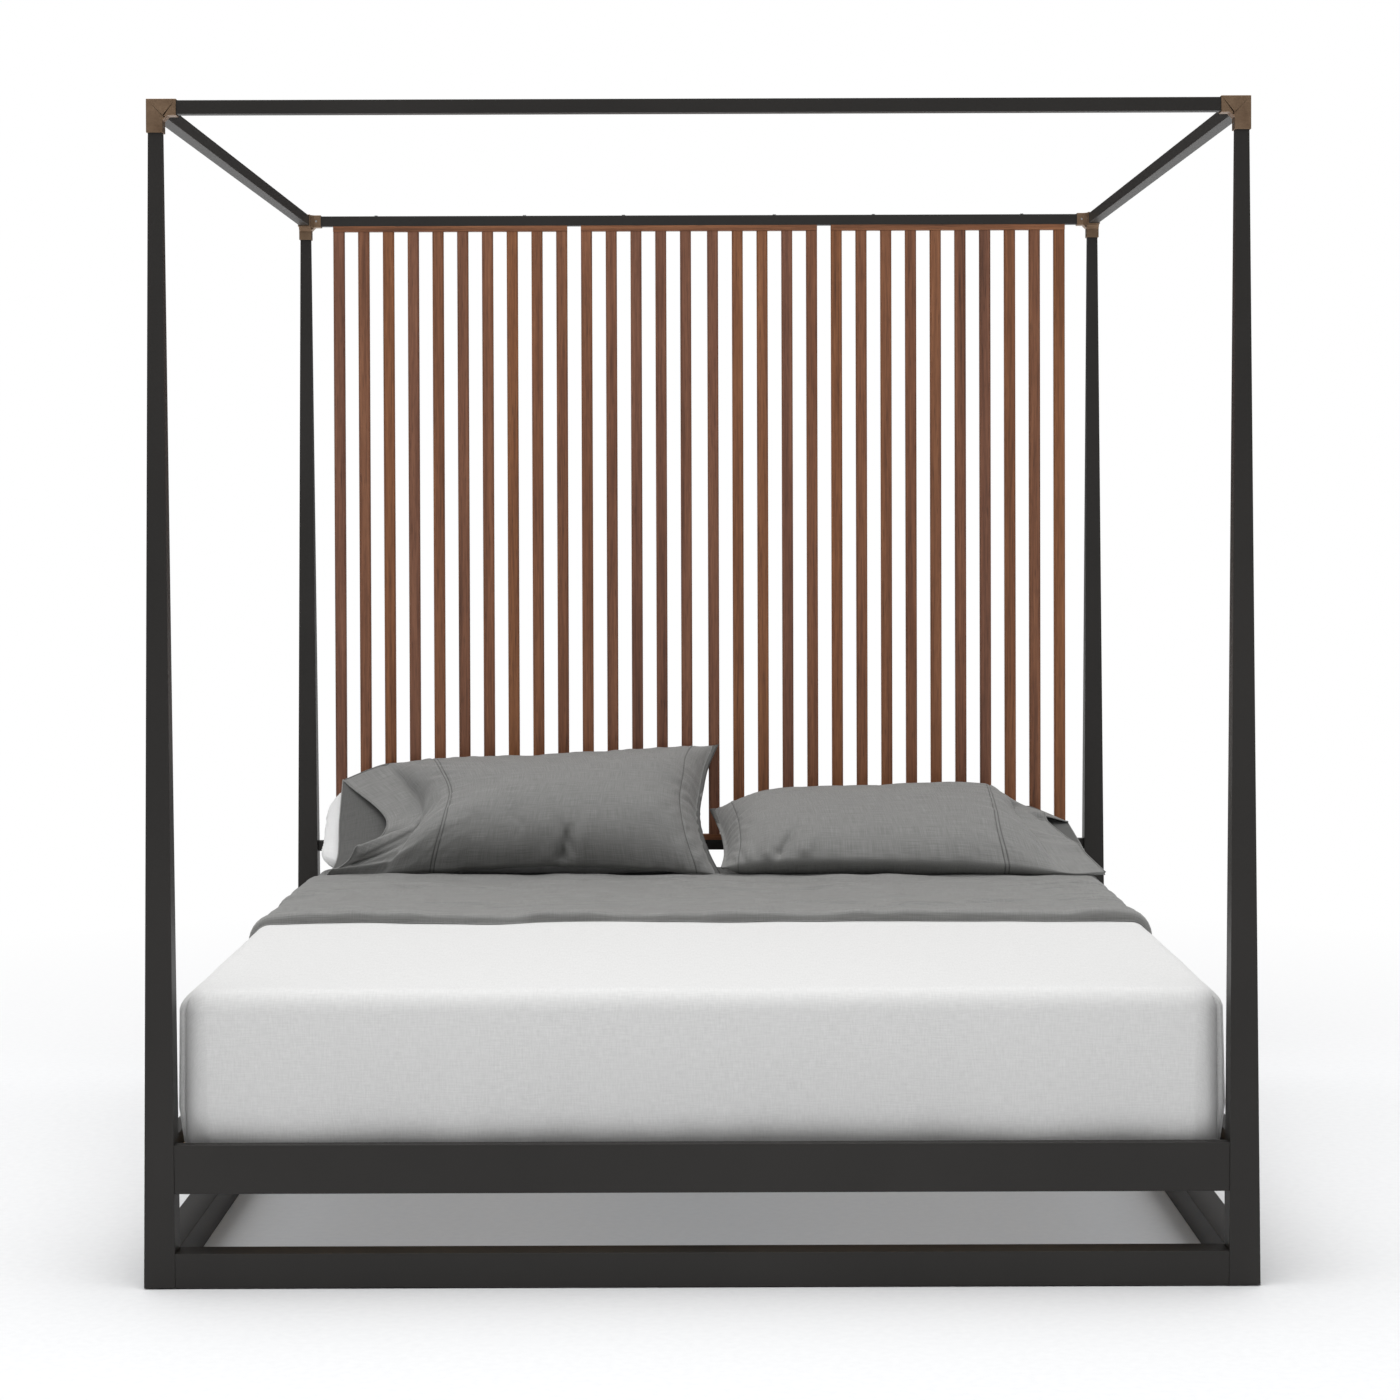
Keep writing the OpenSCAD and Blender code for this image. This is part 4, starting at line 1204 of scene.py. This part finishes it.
def rest_on(piece, wall):
    """Flattens a piece where it meets the bed below and the headboard behind."""
    points = read_vertices(piece, "co").astype(float)
    soft = 6 * MM
    lift = points[:, 2] - bed_top(points[:, 0])
    points[:, 2] += soft * np.log1p(np.exp(-lift / soft)) * (lift < 8 * soft)
    gap = wall - points[:, 1]
    points[:, 1] -= soft * 0.5 * np.log1p(np.exp(-gap / (soft * 0.5))) * (gap < 4 * soft)
    piece.data.vertices.foreach_set("co", points.ravel().astype(np.float32))
    piece.data.update()


def tilted(centre_y, centre_z, degrees, mirror):
    """Places (x, s, n) points on a plane that rises towards the headboard."""
    c, s = math.cos(math.radians(degrees)), math.sin(math.radians(degrees))

    def place(points):
        x, up, out = points[:, 0], points[:, 1], points[:, 2]
        x = -x if mirror else x
        return np.column_stack([x, centre_y + c * up - s * out, centre_z + s * up + c * out])

    return place


def bed_top(x):
    """Height of the bedding under a pillow."""
    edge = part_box("fitted_sheet")[1].x - 0.03
    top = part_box("fitted_sheet")[1].z + 1.5 * MM
    return top - 84 * np.clip(np.abs(x) - edge, 0, 0.06) ** 2


def left_pillow_shape():
    """The tall pillow on the left: it leans on the white one, with its open end to the left."""
    return {
        "place": tilted(0.8645, 0.6846, 41, False), "mirror": False,
        "low": [(0, -.912, -.206, -.002), (.24, -.662, -.200, .004), (.50, -.405, -.186, .010),
                (.76, -.170, -.192, .006), (CASE_LENGTH, .051, -.208, -.002)],
        "high": [(0, -.902, .122, .0), (.12, -.800, .172, .004), (.24, -.686, .184, .000),
                 (.50, -.430, .188, .000), (.80, -.150, .208, .006), (CASE_LENGTH, .046, .232, .010)],
        "open": [(0, -.912, -.206, -.002), (.135, -.838, -.172, .045), (.275, -.776, -.062, .024),
                 (CASE_WIDTH, -.902, .122, .0)],
        "back": [(0, -.912, -.206, -.002), (.10, -.896, -.150, -.010), (.30, -.900, -.010, -.010),
                 (CASE_WIDTH, -.902, .122, .0)],
        "closed": [(0, .051, -.208, -.002), (.08, .022, -.140, .008), (.20, -.001, -.035, .014),
                   (.33, .008, .075, .012), (.44, .024, .165, .010), (CASE_WIDTH, .046, .232, .010)],
        "ridges": [(0.0, .135, .20, .33, 26 * MM, 22 * MM), (0.0, .02, .22, .08, 14 * MM, 20 * MM),
                   (.02, .235, .17, .235, -14 * MM, 20 * MM)],
        "creases": [(.565, .0, .595, .085, -22 * MM, 10 * MM), (.60, .03, .56, .11, -8 * MM, 9 * MM),
                    (.61, .0, .65, .12, 9 * MM, 15 * MM), (.535, .0, .52, .10, 8 * MM, 13 * MM),
                    (.03, .07, .20, .25, -12 * MM, 9 * MM), (.02, .12, .19, .30, 7 * MM, 9 * MM)],
        "over": .108, "under": .012, "settled": 1.0, "hem_pull": .042,
        "wall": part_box("panel_left_slats")[0].y - 4 * MM,
    }


def right_pillow_shape():
    """The low pillow on the right: it lies nearly flat, with its open end to the right."""
    return {
        "place": tilted(0.826, 0.6368, 14, True), "mirror": True,
        "low": [(0, -.978, -.196, -.036), (.10, -.900, -.210, -.034), (.24, -.745, -.204, -.012),
                (.50, -.480, -.190, .0), (.80, -.185, -.190, .0), (CASE_LENGTH, -.048, -.170, -.030)],
        "high": [(0, -.926, .130, -.020), (.12, -.835, .176, .010), (.24, -.738, .206, .012),
                 (.50, -.470, .212, .014), (.80, -.180, .200, .020), (CASE_LENGTH, -.022, .165, .010)],
        "open": [(0, -.978, -.196, -.036), (.15, -.925, -.100, .0), (.33, -.856, .050, .030),
                 (CASE_WIDTH, -.926, .130, -.020)],
        "back": [(0, -.978, -.196, -.036), (.15, -.955, -.080, -.040), (.33, -.942, .040, -.034),
                 (CASE_WIDTH, -.926, .130, -.020)],
        "closed": [(0, -.048, -.170, -.030), (.12, -.056, -.090, -.026), (.25, -.052, .0, -.014),
                   (.40, -.036, .100, .0), (CASE_WIDTH, -.022, .165, .010)],
        "ridges": [(0.0, .33, .20, .30, 18 * MM, 24 * MM), (0.0, .15, .22, .16, 10 * MM, 26 * MM)],
        "creases": [(.79, .02, .74, .10, -17 * MM, 10 * MM), (.80, .0, .80, .09, -8 * MM, 9 * MM),
                    (.83, .0, .83, .10, 8 * MM, 13 * MM), (.72, .02, .68, .09, 7 * MM, 15 * MM),
                    (.02, .30, .20, .40, -9 * MM, 10 * MM), (.02, .18, .19, .24, 6 * MM, 12 * MM)],
        "over": .090, "under": .085, "settled": .78, "hem_pull": .05,
        "wall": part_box("panel_right_slats")[0].y - 4 * MM,
    }


# How much shorter the white pillow is than its CAD solid, at the end by the bed's middle.
WHITE_SHORT = 0.03


def make_white_pillow(cloth):
    """The white pillow: a soft wedge behind the tall one, with a stitched seam near its left end."""
    node = frame["nodes"]["pillow_white"]
    piece = bpy.data.objects.new("white_pillow", node.data.copy())
    bpy.context.scene.collection.objects.link(piece)
    piece.data.materials.clear()
    piece.data.materials.append(cloth)
    remesh = piece.modifiers.new("remesh", "REMESH")
    remesh.mode = "VOXEL"
    remesh.voxel_size = 9 * MM
    apply_modifiers(piece)
    points = read_vertices(piece, "co").astype(float)
    normals = read_vertices(piece, "normal")
    x, y, z = points.T
    low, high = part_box("pillow_white")
    ends = np.exp(-np.minimum(x - low.x, high.x - x) / 0.05)
    dimple = ripple(x, y + z, 0.16, 41, 7, (1.5, 1.0)) * 1.6 * MM
    gathers = np.sin((y + z) * 190 + 3 * np.sin(z * 30)) * ends * 1.1 * MM
    points += normals * (dimple + gathers - 3.0 * MM)[:, None]
    # Both ends of a stuffed pillow are rounder than its middle
    near_end = np.clip(np.minimum(x - low.x, high.x - x) / 0.13, 0, 1)
    shrink = 0.42 + 0.58 * np.sqrt(1 - (1 - near_end) ** 2)
    middle = points[:, 1:].mean(0) + (0, -0.01)
    points[:, 1:] = middle + (points[:, 1:] - middle) * shrink[:, None]
    points[:, 0] -= WHITE_SHORT * smooth((x - 0.4 * low.x) / 0.3)
    seam = np.abs(x - low.x - 18 * MM - 0.1 * (z - 0.6) ** 2)
    points -= normals * (2.0 * MM * np.exp(-(seam / (4 * MM)) ** 2))[:, None]
    piece.data.vertices.foreach_set("co", points.ravel().astype(np.float32))
    flat = piece.data.attributes.new("flat", "FLOAT_VECTOR", "POINT")
    flat.data.foreach_set("vector", np.column_stack([x, y + z, 0 * x]).astype(np.float32).ravel())
    piece.data.shade_smooth()
    finish_soft(piece, "white_pillow", ["pillow_white"])


make_camera()
make_floor()
make_lights()
finish_cad()

gray_cloth = gray_sateen()
make_mattress(ticking())
make_fitted_sheet(gray_cloth)
make_coverlet(white_linen())
make_top_sheet(gray_cloth)
pillow_cotton = white_cotton()
make_white_pillow(pillow_cotton)
cloths = (case_outside(), case_inside_and_shade(), pillow_cotton)
make_pillow("left_case", "pillow_left", "left_pillow", left_pillow_shape(), *cloths)
make_pillow("right_case", "pillow_right", "right_pillow", right_pillow_shape(), *cloths)
